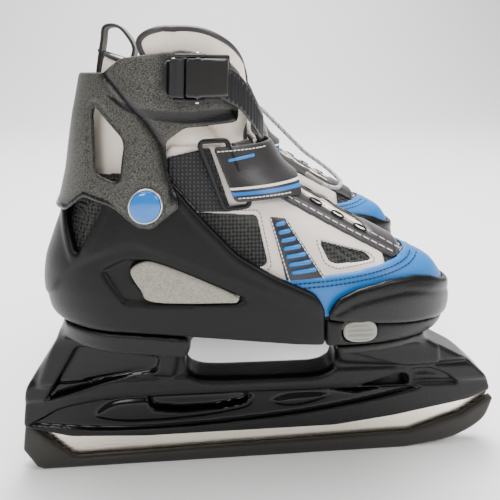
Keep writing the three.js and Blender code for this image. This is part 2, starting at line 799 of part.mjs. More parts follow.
const buckleAxle = () =>
  barZ(AXLE_X, pinY(AXLE_X), AXLE_R, lift(BUCKLE.low) - 0.6, lift(BUCKLE.high) + 0.6);

function ladderStrap() {
  const mid = (BUCKLE.low + BUCKLE.high) / 2;
  const half = LADDER_WIDTH / 2;
  const run = [
    [-50, 0],
    [-16, 0],
    [0, -12],
    [12, -24],
    [30, -34],
  ];
  const outline = at([
    ...run.map(([x, dz]) => [x, mid + dz - half]),
    ...run.reverse().map(([x, dz]) => [x, mid + dz + half]),
  ]);
  const section = (extra) => ring(buckleMid, cuffIn(LADDER_IN + WING_STEP + extra));
  const [low, high] = [lift(170), lift(250)];
  return plan(section(STRAP_WALL), low, high)
    .subtract(plan(section(0), low - 1, high + 1))
    .intersect(side(outline));
}

// ---------------------------------------------------------------- laces
// A lace follows a smooth curve through its points, with one step for every two or three diameters.
function laceTube(points, step = 11) {
  const path = new THREE.CatmullRomCurve3(points.map(([x, y, z]) => new THREE.Vector3(x, y, z)));
  const section = new THREE.Shape();
  section.absarc(0, 0, LACE_R, 0, Math.PI * 2);
  const steps = Math.min(80, Math.round(path.getLength() / step));
  const options = { extrudePath: path, steps, curveSegments: 4, bevelEnabled: false };
  return solid(new THREE.ExtrudeGeometry(section, options));
}

const EYELET_HEIGHTS = [134, 142, 150, 159, 168, 178];
const EYELET_Y = SLOT_HALF_WIDTH + 1;
const LACE_OFF = BAND_OUT + LACE_R + 1.7;
// A lace's point as drawn, raised and narrowed with the boot.
const lacePoint = ([x, y, z]) => [x, (y * FOOT_HALF_WIDTH) / DRAWN.halfWidth, z + lift(183) - 183];
const LACE_EXIT = lacePoint([6, 15, 183]); // where the lace leaves the top eyelet

// The stretch that the eyelets hold, which runs up the instep and ends at the top eyelet on the inner side.
function lacedPart() {
  const place = (height, y) => {
    const z = lift(height);
    const { toe, nose, ballHalf } = levelAt(z);
    const across = y / (ballHalf + LACE_OFF);
    return [toe - nose + (nose + LACE_OFF) * Math.sqrt(1 - across * across), y, z];
  };
  const points = EYELET_HEIGHTS.flatMap((height, row) => {
    const y = row % 2 ? EYELET_Y : -EYELET_Y;
    const next = EYELET_HEIGHTS[row + 1];
    return next ? [place(height, y), place((height + next) / 2, 0)] : [place(height, y)];
  });
  points.push(LACE_EXIT);
  return laceTube(points);
}

// The free end of the lace, from the top eyelet on.
const LACE_END = {
  right: [
    [5.7, 15.2, 183.4],
    [2.4, 17, 187.5],
    [2, 19.5, 192.5],
    [4, 24.5, 198],
    [8.5, 30, 199.5],
    [13, 35, 193],
    [17, 41, 180],
    [19, 45, 164],
    [20, 47, 146],
    [21, 49, 126],
    [22, 50, 104],
    [24, 51, 82],
    [26, 51, 60],
    [28, 51, 38],
  ],
  left: [
    [5.7, 15.2, 183.4],
    [2.4, 17, 187.5],
    [2.6, 19, 193],
    [6.5, 22, 197.5],
    [14, 24.5, 197],
    [26, 26, 186],
    [40, 25, 172],
    [54, 21, 158],
    [67, 15, 148],
    [78, 12, 139],
    [85, 17, 132],
    [82, 25, 129],
    [73, 30, 131],
    [63, 31, 136],
    [55, 30, 141],
  ],
};

// ---------------------------------------------------------------- one skate
const COLOURS = {
  steel: [0xd8d2c4, 0.22, 1],
  wire: [0x1c1c1e, 0.4, 0.4],
  guard: [0x45413d, 0.6, 0],
  black: [0x1a1a1b, 0.45, 0],
  shell: [0x262625, 0.55, 0],
  speckle: [0xb4b1a6, 0.4, 0.2],
  cap: [0x2b2b2b, 0.5, 0],
  grey: [0xacaa9f, 0.5, 0],
  blue: [0x1b8bd2, 0.45, 0],
  cream: [0xdbd4cb, 0.6, 0],
  dark: [0x2a2426, 0.5, 0],
  liner: [0xe2d6c8, 0.7, 0],
  mesh: [0x242424, 0.8, 0],
  cuff: [0x4a4945, 0.6, 0],
};

const PIECES = {
  blade: [blade, "steel"],
  blade_guard: [bladeGuard, "guard"],
  holder: [holder, "black"],
  rear_shell: [rearShell, "shell"],
  shell_inlay: [shellInlay, "speckle"],
  toe_shell: [toeShell, "shell"],
  toe_cap: [toeCap, "cap"],
  size_button: [sizeButton, "grey"],
  sole_bolt_rear: [() => soleBolt(HEEL_BOLT_X, soleZ(HEEL_BOLT_X) + FLOOR - 0.4), "wire"],
  sole_bolt_front: [() => soleBolt(TOE_BOLT_X, soleZ(TOE_BOLT_X) + TONGUE_PLATE.depth - 0.4), "wire"],
  toe_vamp: [toeVamp, "blue"],
  upper: [upper, "cream"],
  eyestay: [eyestay, "dark"],
  liner: [liner, "liner"],
  tongue: [tongue, "cream"],
  footbed: [footbed, "mesh"],
  pull_loop: [pullLoop, "grey"],
  instep_webbing: [instepWebbing, "mesh"],
  strap_ring: [strapRing, "wire"],
  strap_pad: [strapPad, "dark"],
  cuff: [cuff, "cuff"],
  pivot_cap_outer: [() => pivotCap(-1), "blue"],
  pivot_cap_inner: [() => pivotCap(1), "blue"],
  buckle_base: [buckleBase, "black"],
  buckle_lever: [buckleLever, "black"],
  buckle_axle: [buckleAxle, "steel"],
  buckle_pawl: [bucklePawl, "black"],
  ladder_strap: [ladderStrap, "mesh"],
  lace: [lacedPart, "cream"],
  lace_end: [null, "cream"],
};

const shared = Object.fromEntries(
  Object.entries(PIECES)
    .filter(([, [make]]) => make)
    .map(([name, [make]]) => [name, geometryOf(make())]),
);

function skate(hand) {
  const group = new THREE.Group();
  for (const [name, [, finish]] of Object.entries(PIECES)) {
    const [color, roughness, metalness] = COLOURS[finish];
    const geometry = shared[name] ?? geometryOf(laceTube(LACE_END[hand].map(lacePoint)));
    const mesh = new THREE.Mesh(geometry, new THREE.MeshStandardMaterial({ color, roughness, metalness }));
    mesh.name = `${hand}_${name}`;
    group.add(mesh);
  }
  return group;
}

const right = skate("right");
const left = skate("left");
left.scale.y = -1;
left.rotation.z = THREE.MathUtils.degToRad(-LEFT_TOE_IN);
left.position.set(LEFT_FORWARD, SKATE_SPACING, 0);

const pair = new THREE.Group();
pair.add(right, left);
pair.updateMatrixWorld(true);
const bounds = new THREE.Box3();
pair.traverse((object) => {
  if (object.isMesh && !object.name.endsWith("lace_end")) bounds.expandByObject(object, true);
});
const middle = bounds.getCenter(new THREE.Vector3());
pair.position.set(-middle.x, -middle.y, -bounds.min.z);

export default pair;
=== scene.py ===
import json
import math
import bpy
import numpy as np
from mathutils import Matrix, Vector


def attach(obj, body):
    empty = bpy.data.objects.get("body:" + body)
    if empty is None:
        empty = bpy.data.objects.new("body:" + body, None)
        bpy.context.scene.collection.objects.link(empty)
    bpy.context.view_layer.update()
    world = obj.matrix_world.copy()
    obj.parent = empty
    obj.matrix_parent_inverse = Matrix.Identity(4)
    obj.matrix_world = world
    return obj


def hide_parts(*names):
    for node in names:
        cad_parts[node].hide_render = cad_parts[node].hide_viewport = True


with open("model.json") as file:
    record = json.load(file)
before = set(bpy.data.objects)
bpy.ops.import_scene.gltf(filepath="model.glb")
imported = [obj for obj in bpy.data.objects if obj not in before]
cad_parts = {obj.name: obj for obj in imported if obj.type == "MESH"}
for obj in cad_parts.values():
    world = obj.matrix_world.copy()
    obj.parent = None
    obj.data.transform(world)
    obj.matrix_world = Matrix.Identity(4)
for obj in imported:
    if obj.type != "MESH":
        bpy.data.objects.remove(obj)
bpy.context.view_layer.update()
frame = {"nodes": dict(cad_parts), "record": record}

# ---------------------------------------------------------------- where the skates stand
# Each skate is worked out in millimetres in its own frame: x to the toe, -y to the outer side, z up.
# The cuff's hinge in the frame says where it stands and which way it points.
PIVOT = (-58, 0, 157)
HANDS = {"right": 1, "left": -1}
joints = {j["name"]: j for j in frame["record"]["behaviour"]["joints"]}


def standing(hand):
    hinge = joints[f"{hand}_cuff_flex"]
    axis = np.array(hinge["axis"])
    turn = np.column_stack([(axis[1], -axis[0], 0), axis * HANDS[hand], (0, 0, 1)])
    return turn, np.array(hinge["pos_m"]) - turn @ np.array(PIVOT) * 0.001


def placed(points, hand):
    turn, origin = standing(hand)
    return np.asarray(points, dtype=float) @ turn.T * 0.001 + origin


# ---------------------------------------------------------------- camera
# It stands low beside the outer side of the right skate, and looks a little upwards past its top, so
# the picture is taken from the lower part of a wide view.
camera = bpy.data.objects.new("camera", bpy.data.cameras.new("camera"))
bpy.context.scene.collection.objects.link(camera)
camera.location = (-0.0356, -0.3773, 0.2299)
camera.rotation_euler = (math.radians(95.8), 0, math.radians(-4.3))
camera.data.lens = 33.4
camera.data.shift_y = -0.454
camera.data.clip_start = 0.01
bpy.context.scene.camera = camera


# ---------------------------------------------------------------- floor and light
def linear(code):
    """The linear colour of an sRGB hex value."""
    values = [int(code[i:i + 2], 16) / 255 for i in (1, 3, 5)]
    return (*(v / 12.92 if v <= 0.04045 else ((v + 0.055) / 1.055) ** 2.4 for v in values), 1)


def add(tree, kind, settings=None, links=None):
    """Adds a node, sets what it is told by attribute or socket name, and links sockets to outputs."""
    node = tree.nodes.new(kind)
    for key, value in (settings or {}).items():
        if isinstance(key, str) and hasattr(node, key):
            setattr(node, key, value)
        else:
            node.inputs[key].default_value = value
    for key, output in (links or {}).items():
        tree.links.new(output, node.inputs[key])
    return node


def embossed(tree, shader, height, depth, strength=1.0):
    """Gives a surface relief of a depth in millimetres, from a height."""
    bump = add(tree, "ShaderNodeBump", {"Strength": strength, "Distance": depth * 0.001}, {"Height": height})
    tree.links.new(bump.outputs[0], shader.inputs["Normal"])


def marked(tree, name="here"):
    """What a piece keeps on its points under a name: here is the place on the skate, in millimetres."""
    attribute = add(tree, "ShaderNodeAttribute", {"attribute_name": name})
    return attribute.outputs["Vector" if name == "here" else "Fac"]


def finish_of(name, colour, roughness, **more):
    """A material with one shader: its colour, its roughness and whatever else its finish needs."""
    material = bpy.data.materials.new(name)
    material.use_nodes = True
    tree = material.node_tree
    shader = tree.nodes["Principled BSDF"]
    shader.inputs["Base Color"].default_value = linear(colour)
    shader.inputs["Roughness"].default_value = roughness
    for key, value in more.items():
        shader.inputs[key.replace("_", " ")].default_value = value
    return material, tree, shader


floor_mesh = bpy.data.meshes.new("floor")
COVE_Y, COVE_R, FLOOR_REACH = 1.6, 1.2, 4.0
cove = [(-FLOOR_REACH, 0.0)] + [(COVE_Y + COVE_R * math.sin(a), COVE_R - COVE_R * math.cos(a))
                                for a in np.linspace(0, math.pi / 2, 13)] + [(COVE_Y + COVE_R, FLOOR_REACH)]
floor_mesh.from_pydata([(side, a, b) for a, b in cove for side in (-FLOOR_REACH, FLOOR_REACH)], [],
                       [(2 * i, 2 * i + 1, 2 * i + 3, 2 * i + 2) for i in range(len(cove) - 1)])
floor_mesh.polygons.foreach_set("use_smooth", [True] * len(floor_mesh.polygons))
floor = bpy.data.objects.new("floor", floor_mesh)
bpy.context.scene.collection.objects.link(floor)
paper, _, _ = finish_of("pale_paper", "#F7F7F6", 0.9)
floor_mesh.materials.append(paper)

world = bpy.data.worlds.new("studio")
bpy.context.scene.world = world
world.use_nodes = True
world.node_tree.nodes["Background"].inputs["Color"].default_value = (1, 1, 1, 1)
world.node_tree.nodes["Background"].inputs["Strength"].default_value = 0.42


def lamp(name, place, size, watts, target=(-0.02, 0.0, 0.12)):
    light = bpy.data.lights.new(name, "AREA")
    light.size = size
    light.energy = watts
    stand = bpy.data.objects.new(name, light)
    bpy.context.scene.collection.objects.link(stand)
    stand.location = place
    stand.rotation_euler = (Vector(target) - Vector(place)).to_track_quat("-Z", "Y").to_euler()


lamp("overhead_panel", (0.05, 0.1, 1.3), 1.2, 38)
lamp("front_window", (-0.5, -1.2, 0.9), 0.5, 7)
lamp("toe_side", (0.9, -0.6, 0.8), 0.4, 5)
lamp("backdrop", (0.0, 1.0, 2.6), 2.0, 110, target=(0.0, 2.6, 0.6))


# ---------------------------------------------------------------- the boot's form
# Everything above the blade holder is moulded or sewn around one form, given by level sections: an
# ellipse at the heel, a longer one at the toe and straight sides between them. Each piece stands off
# it by its own distance.
SOLE_Z = 77.2
SOLE_FALL = 0.085
PARTING_X = 41
TOE_X = 126.4
HEEL = -112.5
HEEL_CURVE = 40
TOE_SHIFT = 4
SHELL_FLOOR = 7.3
LEVELS = np.array([
    # height, heel, toe, half width at the heel, half width at the ball, length of the front curve
    (60, HEEL + 9, 111, 25, 30, 90),
    (84, HEEL + 3.5, 121.5, 28, 32.8, 98),
    (99, HEEL - 1.5, 122.5, 31, 33.5, 99),
    (110, HEEL - 3, 115, 32, 33.2, 93),
    (121, HEEL - 2.5, 92, 32, 32.4, 76),
    (138, HEEL + 2.5, 60.5, 32.5, 31.7, 59),
    (155, HEEL + 8, 31, 32.5, 31, 47),
    (172, HEEL + 11, 8, 32.5, 31, 40),
    (190, HEEL + 13.5, -2, 33, 31, 36),
    (212, HEEL + 17, -6.5, 34, 31, 34),
    (266, HEEL + 24, -14, 35, 31, 34),
])
HEIGHTS = np.arange(30, 300, 1.0)
EASE = np.hanning(13) / np.hanning(13).sum()
SECTIONS = [np.convolve(np.pad(np.interp(HEIGHTS, LEVELS[:, 0], column), 6, "edge"), EASE, "valid")
            for column in LEVELS.T[1:]]

# How far each layer's outer face stands off the form, and the shell's inner face.
UPPER_OUT = 2.3
SHELL_IN = 2.6
BAND_OUT = 4.1
SHELL_OUT = 7.1
CAP_OUT = 8.3


def sole_z(x):
    return SOLE_Z - SOLE_FALL * (x - PARTING_X)


def section(z):
    return [np.interp(z, HEIGHTS, column) for column in SECTIONS]


def side_y(x, z, off, front=0.0):
    """Half width of the form at a place, grown by an offset, and how far its middle is shifted."""
    heel, toe, heel_half, ball_half, nose = section(z)
    ball, rear = toe - nose, heel + HEEL_CURVE
    ahead = np.clip((x - ball) / (nose + front + off), 0, 1)
    behind = np.clip((rear - x) / (HEEL_CURVE + off), 0, 1)
    along = np.clip((x - rear) / (ball - rear), 0, 1)
    half = heel_half + (ball_half - heel_half) * along + off
    round_off = np.sqrt(1 - ahead ** 2) * np.sqrt(1 - behind ** 2)
    return half * round_off, TOE_SHIFT * ahead ** 2 * nose / 100


FAR = 400  # further than any block reaches, for a cut that stops at a level


class Block:
    """A block of space in a skate's own millimetres, cut into cells, in which a piece is worked out."""

    def __init__(self, low, high, cell):
        axes = [np.arange(a, b + cell, cell, dtype=np.float32) for a, b in zip(low, high)]
        self.x, self.y, self.z = np.meshgrid(*axes, indexing="ij", sparse=True)
        self.low = np.array(low, dtype=float)
        self.cell = cell

    def stand_off(self, front=0.0, heel=0.0, level=None):
        """How far each cell stands off the form, as a distance square to its surface where it is near."""
        z = self.z if level is None else np.full_like(self.z, level)
        heel_x, toe, heel_half, ball_half, nose = (v.astype(np.float32) for v in section(z))
        ball, rear = toe - nose, heel_x + HEEL_CURVE
        ahead = np.clip((self.x - ball) / nose, 0, 1)
        y = np.abs(self.y - TOE_SHIFT * ahead ** 2 * nose / 100)

        def ellipse(dx, reach, half):
            off = np.maximum(np.maximum(dx - reach, y - half), -0.8 * half)
            for _ in range(5):
                a, b = dx / (reach + off), y / (half + off)
                value = a * a + b * b - 1
                slope = -2 * (a * a / (reach + off) + b * b / (half + off))
                off = np.maximum(off - value / np.minimum(slope, -1e-4), -0.8 * half)
            return off

        out = y - (heel_half + (ball_half - heel_half) * np.clip((self.x - rear) / (ball - rear), 0, 1))
        out = np.where(self.x > ball, ellipse(np.maximum(self.x - ball, 0), nose + front, ball_half), out)
        out = np.where(self.x < rear, ellipse(np.maximum(rear - self.x, 0), HEEL_CURVE + heel, heel_half), out)
        return out


def rounded(points, radius=3.0, steps=4):
    """A closed outline with its corners rounded."""
    points = [np.array(p, dtype=float) for p in points]
    out = []
    for before, corner, after in zip(points[-1:] + points[:-1], points, points[1:] + points[:1]):
        reach = [min(radius, 0.49 * np.linalg.norm(p - corner)) for p in (before, after)]
        a, b = (corner + (p - corner) * r / np.linalg.norm(p - corner) for p, r in zip((before, after), reach))
        for t in np.linspace(0, 1, steps):
            out.append((1 - t) ** 2 * a + 2 * t * (1 - t) * corner + t * t * b)
    return np.array(out)


def flowing(points, closed=False, steps=6):
    """A smooth curve through the points."""
    p = np.array(points, dtype=float)
    p = np.vstack([p[-1:], p, p[:2]]) if closed else np.vstack([2 * p[0] - p[1], p, 2 * p[-1] - p[-2]])
    out = []
    for a, b, c, d in zip(p, p[1:], p[2:], p[3:]):
        for t in np.arange(steps) / steps:
            out.append(0.5 * (2 * b + (c - a) * t + (2 * a - 5 * b + 4 * c - d) * t * t
                              + (3 * b - a - 3 * c + d) * t ** 3))
    return np.array(out if closed else out + [p[-2]])


def to_line(points, x, z):
    """Distance in side view from an open line."""
    near = None
    for (ax, az), (bx, bz) in zip(points, points[1:]):
        ex, ez = bx - ax, bz - az
        t = np.clip(((x - ax) * ex + (z - az) * ez) / (ex * ex + ez * ez + 1e-9), 0, 1)
        d = (x - ax - t * ex) ** 2 + (z - az - t * ez) ** 2
        near = d if near is None else np.minimum(near, d)
    return np.sqrt(near)


def within(points, x, z):
    """Distance in side view from a closed outline, negative inside it."""
    closed = [*points, points[0]]
    odd = np.zeros(np.broadcast(x, z).shape, bool)
    for (ax, az), (bx, bz) in zip(closed, closed[1:]):
        crosses = ((az > z) != (bz > z)) & (x < (bx - ax) * (z - az) / (bz - az if bz != az else 1e-9) + ax)
        odd ^= crosses
    return np.where(odd, -1.0, 1.0) * to_line(closed, x, z)


def common(a, b, soft=1.0):
    """What two shapes share, with its edge rounded."""
    h = np.maximum(soft - np.abs(a - b), 0) / soft
    return np.maximum(a, b) + h * h * soft / 4


def joined(a, b, soft=1.0):
    return -common(-a, -b, soft)


def cut(a, b, soft=1.0):
    return common(a, -b, soft)


def sunk(distance, slope):
    """From 0 outside an outline to 1 once a point is a slope's width inside it."""
    t = np.clip(-distance / slope, 0, 1)
    return t * t * (3 - 2 * t)


CORNERS = [(i, j, k) for i in (0, 1) for j in (0, 1) for k in (0, 1)]
EDGES = [(a, b) for a in range(8) for b in range(a + 1, 8)
         if sum(abs(u - v) for u, v in zip(CORNERS[a], CORNERS[b])) == 1]


def skin(field, block, relax=2):
    """The surface where the field is zero, as points in millimetres and four-sided faces."""
    field = np.array(np.broadcast_to(field, np.broadcast(block.x, block.y, block.z).shape), dtype=np.float32)
    for axis in range(3):
        for end in (0, -1):
            edge = [slice(None)] * 3
            edge[axis] = end
            field[tuple(edge)] = np.maximum(field[tuple(edge)], 0.2)
    solid = field < 0
    size = np.array(field.shape)
    count = sum(solid[i:size[0] - 1 + i, j:size[1] - 1 + j, k:size[2] - 1 + k].astype(np.int8)
                for i, j, k in CORNERS)
    cells = np.argwhere((count > 0) & (count < 8))
    number = np.full(size - 1, -1, dtype=np.int64)
    number[tuple(cells.T)] = np.arange(len(cells))
    values = np.stack([field[tuple((cells + c).T)] for c in CORNERS], axis=1)
    total, hits = np.zeros((len(cells), 3)), np.zeros(len(cells))
    for a, b in EDGES:
        va, vb = values[:, a], values[:, b]
        crosses = (va < 0) != (vb < 0)
        t = np.where(crosses, va / np.where(crosses, va - vb, 1), 0)
        start, step = np.array(CORNERS[a]), np.array(CORNERS[b]) - CORNERS[a]
        total += (start + t[:, None] * step) * crosses[:, None]
        hits += crosses
    points = block.low + block.cell * (cells + total / hits[:, None])
    faces = []
    for axis in range(3):
        u, w = np.eye(3, dtype=int)[(axis + 1) % 3], np.eye(3, dtype=int)[(axis + 2) % 3]
        low = [slice(None)] * 3
        high = [slice(None)] * 3
        low[axis], high[axis] = slice(0, -1), slice(1, None)
        a, b = solid[tuple(low)], solid[tuple(high)]
        at = np.argwhere(a != b)
        at = at[(at[:, (axis + 1) % 3] > 0) & (at[:, (axis + 2) % 3] > 0)]
        ring = [number[tuple((at - s).T)] for s in (u + w, w, np.zeros(3, int), u)]
        quad = np.stack(ring, axis=1)
        outward = a[tuple(at.T)]
        faces.append(np.where(outward[:, None], quad, quad[:, ::-1]))
    faces = np.vstack(faces)
    pairs = np.vstack([faces[:, [i, (i + 1) % 4]] for i in range(4)])
    for _ in range(relax):
        mean, n = np.zeros_like(points), np.zeros(len(points))
        np.add.at(mean, pairs[:, 0], points[pairs[:, 1]])
        np.add.at(n, pairs[:, 0], 1)
        points = 0.5 * points + 0.5 * mean / n[:, None]
    return points, faces


def both(name, body, material, shape, nodes=(), marks=None, smooth=True):
    """Makes a piece for each skate from one shape. Marks are values kept on its points for the material."""
    points, faces = shape
    points = np.asarray(points, dtype=float)
    made = {}
    for hand, side in HANDS.items():
        mesh = bpy.data.meshes.new(f"{hand}_{name}")
        turned = faces if side > 0 else [tuple(f)[::-1] for f in faces]
        mesh.from_pydata(placed(points, hand).tolist(), [], [tuple(map(int, f)) for f in turned])
        mesh.polygons.foreach_set("use_smooth", [smooth] * len(mesh.polygons))
        here = mesh.attributes.new("here", "FLOAT_VECTOR", "POINT")
        here.data.foreach_set("vector", points.astype(np.float32).ravel())
        for key, value in (marks or {}).items():
            mark = mesh.attributes.new(key, "FLOAT", "POINT")
            values = np.broadcast_to(value, len(points)).astype(np.float32)
            mark.data.foreach_set("value", values.ravel())
        mesh.materials.append(material)
        piece = bpy.data.objects.new(f"{hand}_{name}", mesh)
        bpy.context.scene.collection.objects.link(piece)
        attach(piece, f"{hand}_{body}")
        if nodes:
            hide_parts(*(f"{hand}_{n}" for n in nodes))
        made[hand] = piece
    return made


def tube(points, radius, sides=10, closed=False):
    """A round bar along the points with rounded ends, and how far along and around each point is."""
    p = np.array(points, dtype=float)
    tangent = np.roll(p, -1, 0) - np.roll(p, 1, 0) if closed else np.gradient(p, axis=0)
    tangent /= np.linalg.norm(tangent, axis=1)[:, None]
    across = np.cross(tangent[0], (0, 1, 0.01))
    across /= np.linalg.norm(across)
    length = np.concatenate([[0], np.cumsum(np.linalg.norm(np.diff(p, axis=0), axis=1))])
    verts, along, around = [], [], []
    ends = [] if closed else [0.35, 0.8]
    rows = [(0, -0.9, e) for e in ends] + [(i, 0, 1.0) for i in range(len(p))]
    rows += [(len(p) - 1, 0.9, e) for e in reversed(ends)]
    for i, push, scale in rows:
        t = tangent[i]
        across = across - t * (across @ t)
        across /= np.linalg.norm(across)
        up = np.cross(t, across)
        centre = p[i] + t * push * radius * (1 - scale)
        for k in range(sides):
            a = 2 * math.pi * k / sides
            verts.append(centre + radius * scale * (math.cos(a) * across + math.sin(a) * up))
            along.append(length[i])
            around.append(k / sides)
    count = len(rows)
    faces = []
    for i in range(count if closed else count - 1):
        j = (i + 1) % count
        for k in range(sides):
            m = (k + 1) % sides
            faces.append((i * sides + k, i * sides + m, j * sides + m, j * sides + k))
    if not closed:
        faces.append(tuple(range(sides))[::-1])
        faces.append(tuple((count - 1) * sides + k for k in range(sides)))
    return np.array(verts), faces, np.array(along), np.array(around)


def gathered(parts):
    """Several shapes as one."""
    points, faces, start = [], [], 0
    for verts, quads in parts:
        points.append(np.asarray(verts, dtype=float))
        faces += [tuple(int(v) + start for v in f) for f in quads]
        start += len(verts)
    return np.vstack(points), faces


# ---------------------------------------------------------------- laces
# A round braided polyester cord, off-white with blue tracer threads. The free ends come first: each
# leaves the top eyelet on the inner side. The right one hangs down along the boot's inner side, and the
# left one lies over its vamp.
LACE_R = 1.7
LACE_EXIT = (6, 15, 183)
LACE_ENDS = {
    "right": [(5.7, 15.2, 183.4), (2.4, 17, 187.5), (2, 19.5, 192.5), (4, 24.5, 198), (8.5, 30, 199.5),
              (13, 35, 193), (17, 41, 180), (19, 45, 164), (20, 47, 146), (21, 49, 126), (22, 50, 104),
              (24, 51, 82), (26, 51, 60), (28, 51, 38)],
    "left": [(5.7, 15.2, 183.4), (2.4, 17, 187.5), (2.6, 19, 193), (6.5, 22, 197.5), (14, 24.5, 197),
             (26, 26, 186), (40, 25, 172), (54, 21, 158), (67, 15, 148), (78, 12, 139), (85, 17, 132),
             (82, 25, 129), (73, 30, 131), (63, 31, 136), (55, 30, 141)],
}
cord_white, tree, shader = finish_of("braided_polyester", "#C9C4B4", 0.8)
along, around = marked(tree, "along"), marked(tree, "around")
TRACER_PITCH = 7.0
TRACER_SHARE = 0.2


def wound(times, share):
    """1 on a thread that winds around the lace so many times in a tracer's pitch, and 0 beside it."""
    turn = add(tree, "ShaderNodeMath", {"operation": "MULTIPLY_ADD", 1: times / TRACER_PITCH},
               {0: along, 2: around})
    part = add(tree, "ShaderNodeMath", {"operation": "FRACT"}, {0: turn.outputs[0]})
    return add(tree, "ShaderNodeMath", {"operation": "LESS_THAN", 1: share}, {0: part.outputs[0]})


tracer = wound(1, TRACER_SHARE)
shown = wound(2, 0.55)
fleck = add(tree, "ShaderNodeMath", {"operation": "MULTIPLY"}, {0: tracer.outputs[0], 1: shown.outputs[0]})
tone = add(tree, "ShaderNodeMix", {"data_type": "RGBA", 6: linear("#BBB7A8"), 7: linear("#0E78BC")},
           {0: fleck.outputs[0]})
tree.links.new(tone.outputs[2], shader.inputs["Base Color"])
BRAID = 1.6  # length of one plait in mm
plait = add(tree, "ShaderNodeMath", {"operation": "MULTIPLY_ADD", 1: 2 * math.pi / BRAID, 2: 0.0},
            {0: along})
spiral = add(tree, "ShaderNodeMath", {"operation": "MULTIPLY_ADD", 1: 4 * math.pi}, {0: around, 2: plait.outputs[0]})
wave = add(tree, "ShaderNodeMath", {"operation": "SINE"}, {0: spiral.outputs[0]})
embossed(tree, shader, wave.outputs[0], 0.3, strength=0.5)


def laced(hand, name, points):
    """A lace through the points, at one skate."""
    line = flowing(points, steps=8)
    verts, faces, along_it, around_it = tube(line, LACE_R, sides=12)
    mesh = bpy.data.meshes.new(f"{hand}_{name}")
    if HANDS[hand] < 0:
        faces = [f[::-1] for f in faces]
    mesh.from_pydata(placed(verts, hand).tolist(), [], faces)
    mesh.polygons.foreach_set("use_smooth", [True] * len(mesh.polygons))
    for key, values in (("along", along_it), ("around", around_it)):
        mesh.attributes.new(key, "FLOAT", "POINT").data.foreach_set("value", values.astype(np.float32))
    mesh.materials.append(cord_white)
    piece = bpy.data.objects.new(f"{hand}_{name}", mesh)
    bpy.context.scene.collection.objects.link(piece)
    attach(piece, f"{hand}_boot")
    return piece, placed(line, hand)


# Each ends in an aglet: a sleeve of clear grey film, rolled tight around the tip.
AGLET_LENGTH = 16
AGLET_WALL = 0.35
film, _, _ = finish_of("acetate_film", "#8F8F8C", 0.25)
aglets = {}
for hand, route in LACE_ENDS.items():
    line = flowing(route, steps=8)
    left = np.cumsum(np.linalg.norm(np.diff(line, axis=0), axis=1)[::-1])[::-1]
    tip = line[:-1][left <= AGLET_LENGTH]
    beyond = line[-1] + (line[-1] - line[-2]) * 0.3
    sleeve, quads, _, _ = tube([*tip, line[-1], beyond], LACE_R + AGLET_WALL, sides=14)
    mesh = bpy.data.meshes.new(f"{hand}_lace_aglet")
    mesh.from_pydata(placed(sleeve, hand).tolist(), [], [q[::HANDS[hand]] for q in quads])
    mesh.polygons.foreach_set("use_smooth", [True] * len(mesh.polygons))
    mesh.materials.append(film)
    aglets[hand] = bpy.data.objects.new(f"{hand}_lace_aglet", mesh)
    bpy.context.scene.collection.objects.link(aglets[hand])
    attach(aglets[hand], f"{hand}_boot")

for hand, route in LACE_ENDS.items():
    end, line = laced(hand, "free_lace", route)
    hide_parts(f"{hand}_lace_end")

EYELET_HEIGHTS = [134, 142, 150, 159, 168, 178]
EYELET_Y = 12
LACE_OFF = 2.0


def on_front(y, z, off, _=0):
    """The place on the front of the form at a height and a distance across, stood off by off."""
    _heel, toe, _half, ball_half, nose = section(z)
    across = min(abs(y) / (ball_half + off), 0.99)
    return np.array([toe - nose + (nose + off) * math.sqrt(1 - across ** 2), y, z])


corners = [on_front(EYELET_Y if row % 2 else -EYELET_Y, height, LACE_OFF)
           for row, height in enumerate(EYELET_HEIGHTS)]
zigzag = [corners[0]]
for a, b in zip(corners, corners[1:]):
    zigzag += [a + (b - a) * t for t in (0.2, 0.5, 0.8)] + [b]
zigzag.append(LACE_EXIT)
for hand in HANDS:
    held, _ = laced(hand, "held_lace", zigzag)
    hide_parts(f"{hand}_lace")


# ---------------------------------------------------------------- blade guard
# A soft plastic channel, moulded in dark grey, that the blade drops into. Its walls are low along the
# middle, so the blade shows, and rise at both ends.
NOSE_X = TOE_X + 24
GUARD_HALF = 5.5
BLADE_HALF = 1.5


def grained(tree, shader, grain, depth, contrast=0.0, dark="#000000", light="#FFFFFF"):
    """Gives a moulded surface its spark-eroded grain, and its speckle where the plastic has one."""
    noise = add(tree, "ShaderNodeTexNoise", {"Scale": 1 / grain, "Detail": 2.0, "Roughness": 0.6},
                {"Vector": marked(tree)})
    embossed(tree, shader, noise.outputs["Fac"], depth)
    if contrast:
        ramp = add(tree, "ShaderNodeValToRGB", None, {"Fac": noise.outputs["Fac"]})
        ramp.color_ramp.elements[0].position = 0.5 - contrast
        ramp.color_ramp.elements[1].position = 0.5 + contrast
        ramp.color_ramp.elements[0].color = linear(dark)
        ramp.color_ramp.elements[1].color = linear(light)
        tree.links.new(ramp.outputs["Color"], shader.inputs["Base Color"])
        return ramp
    return noise


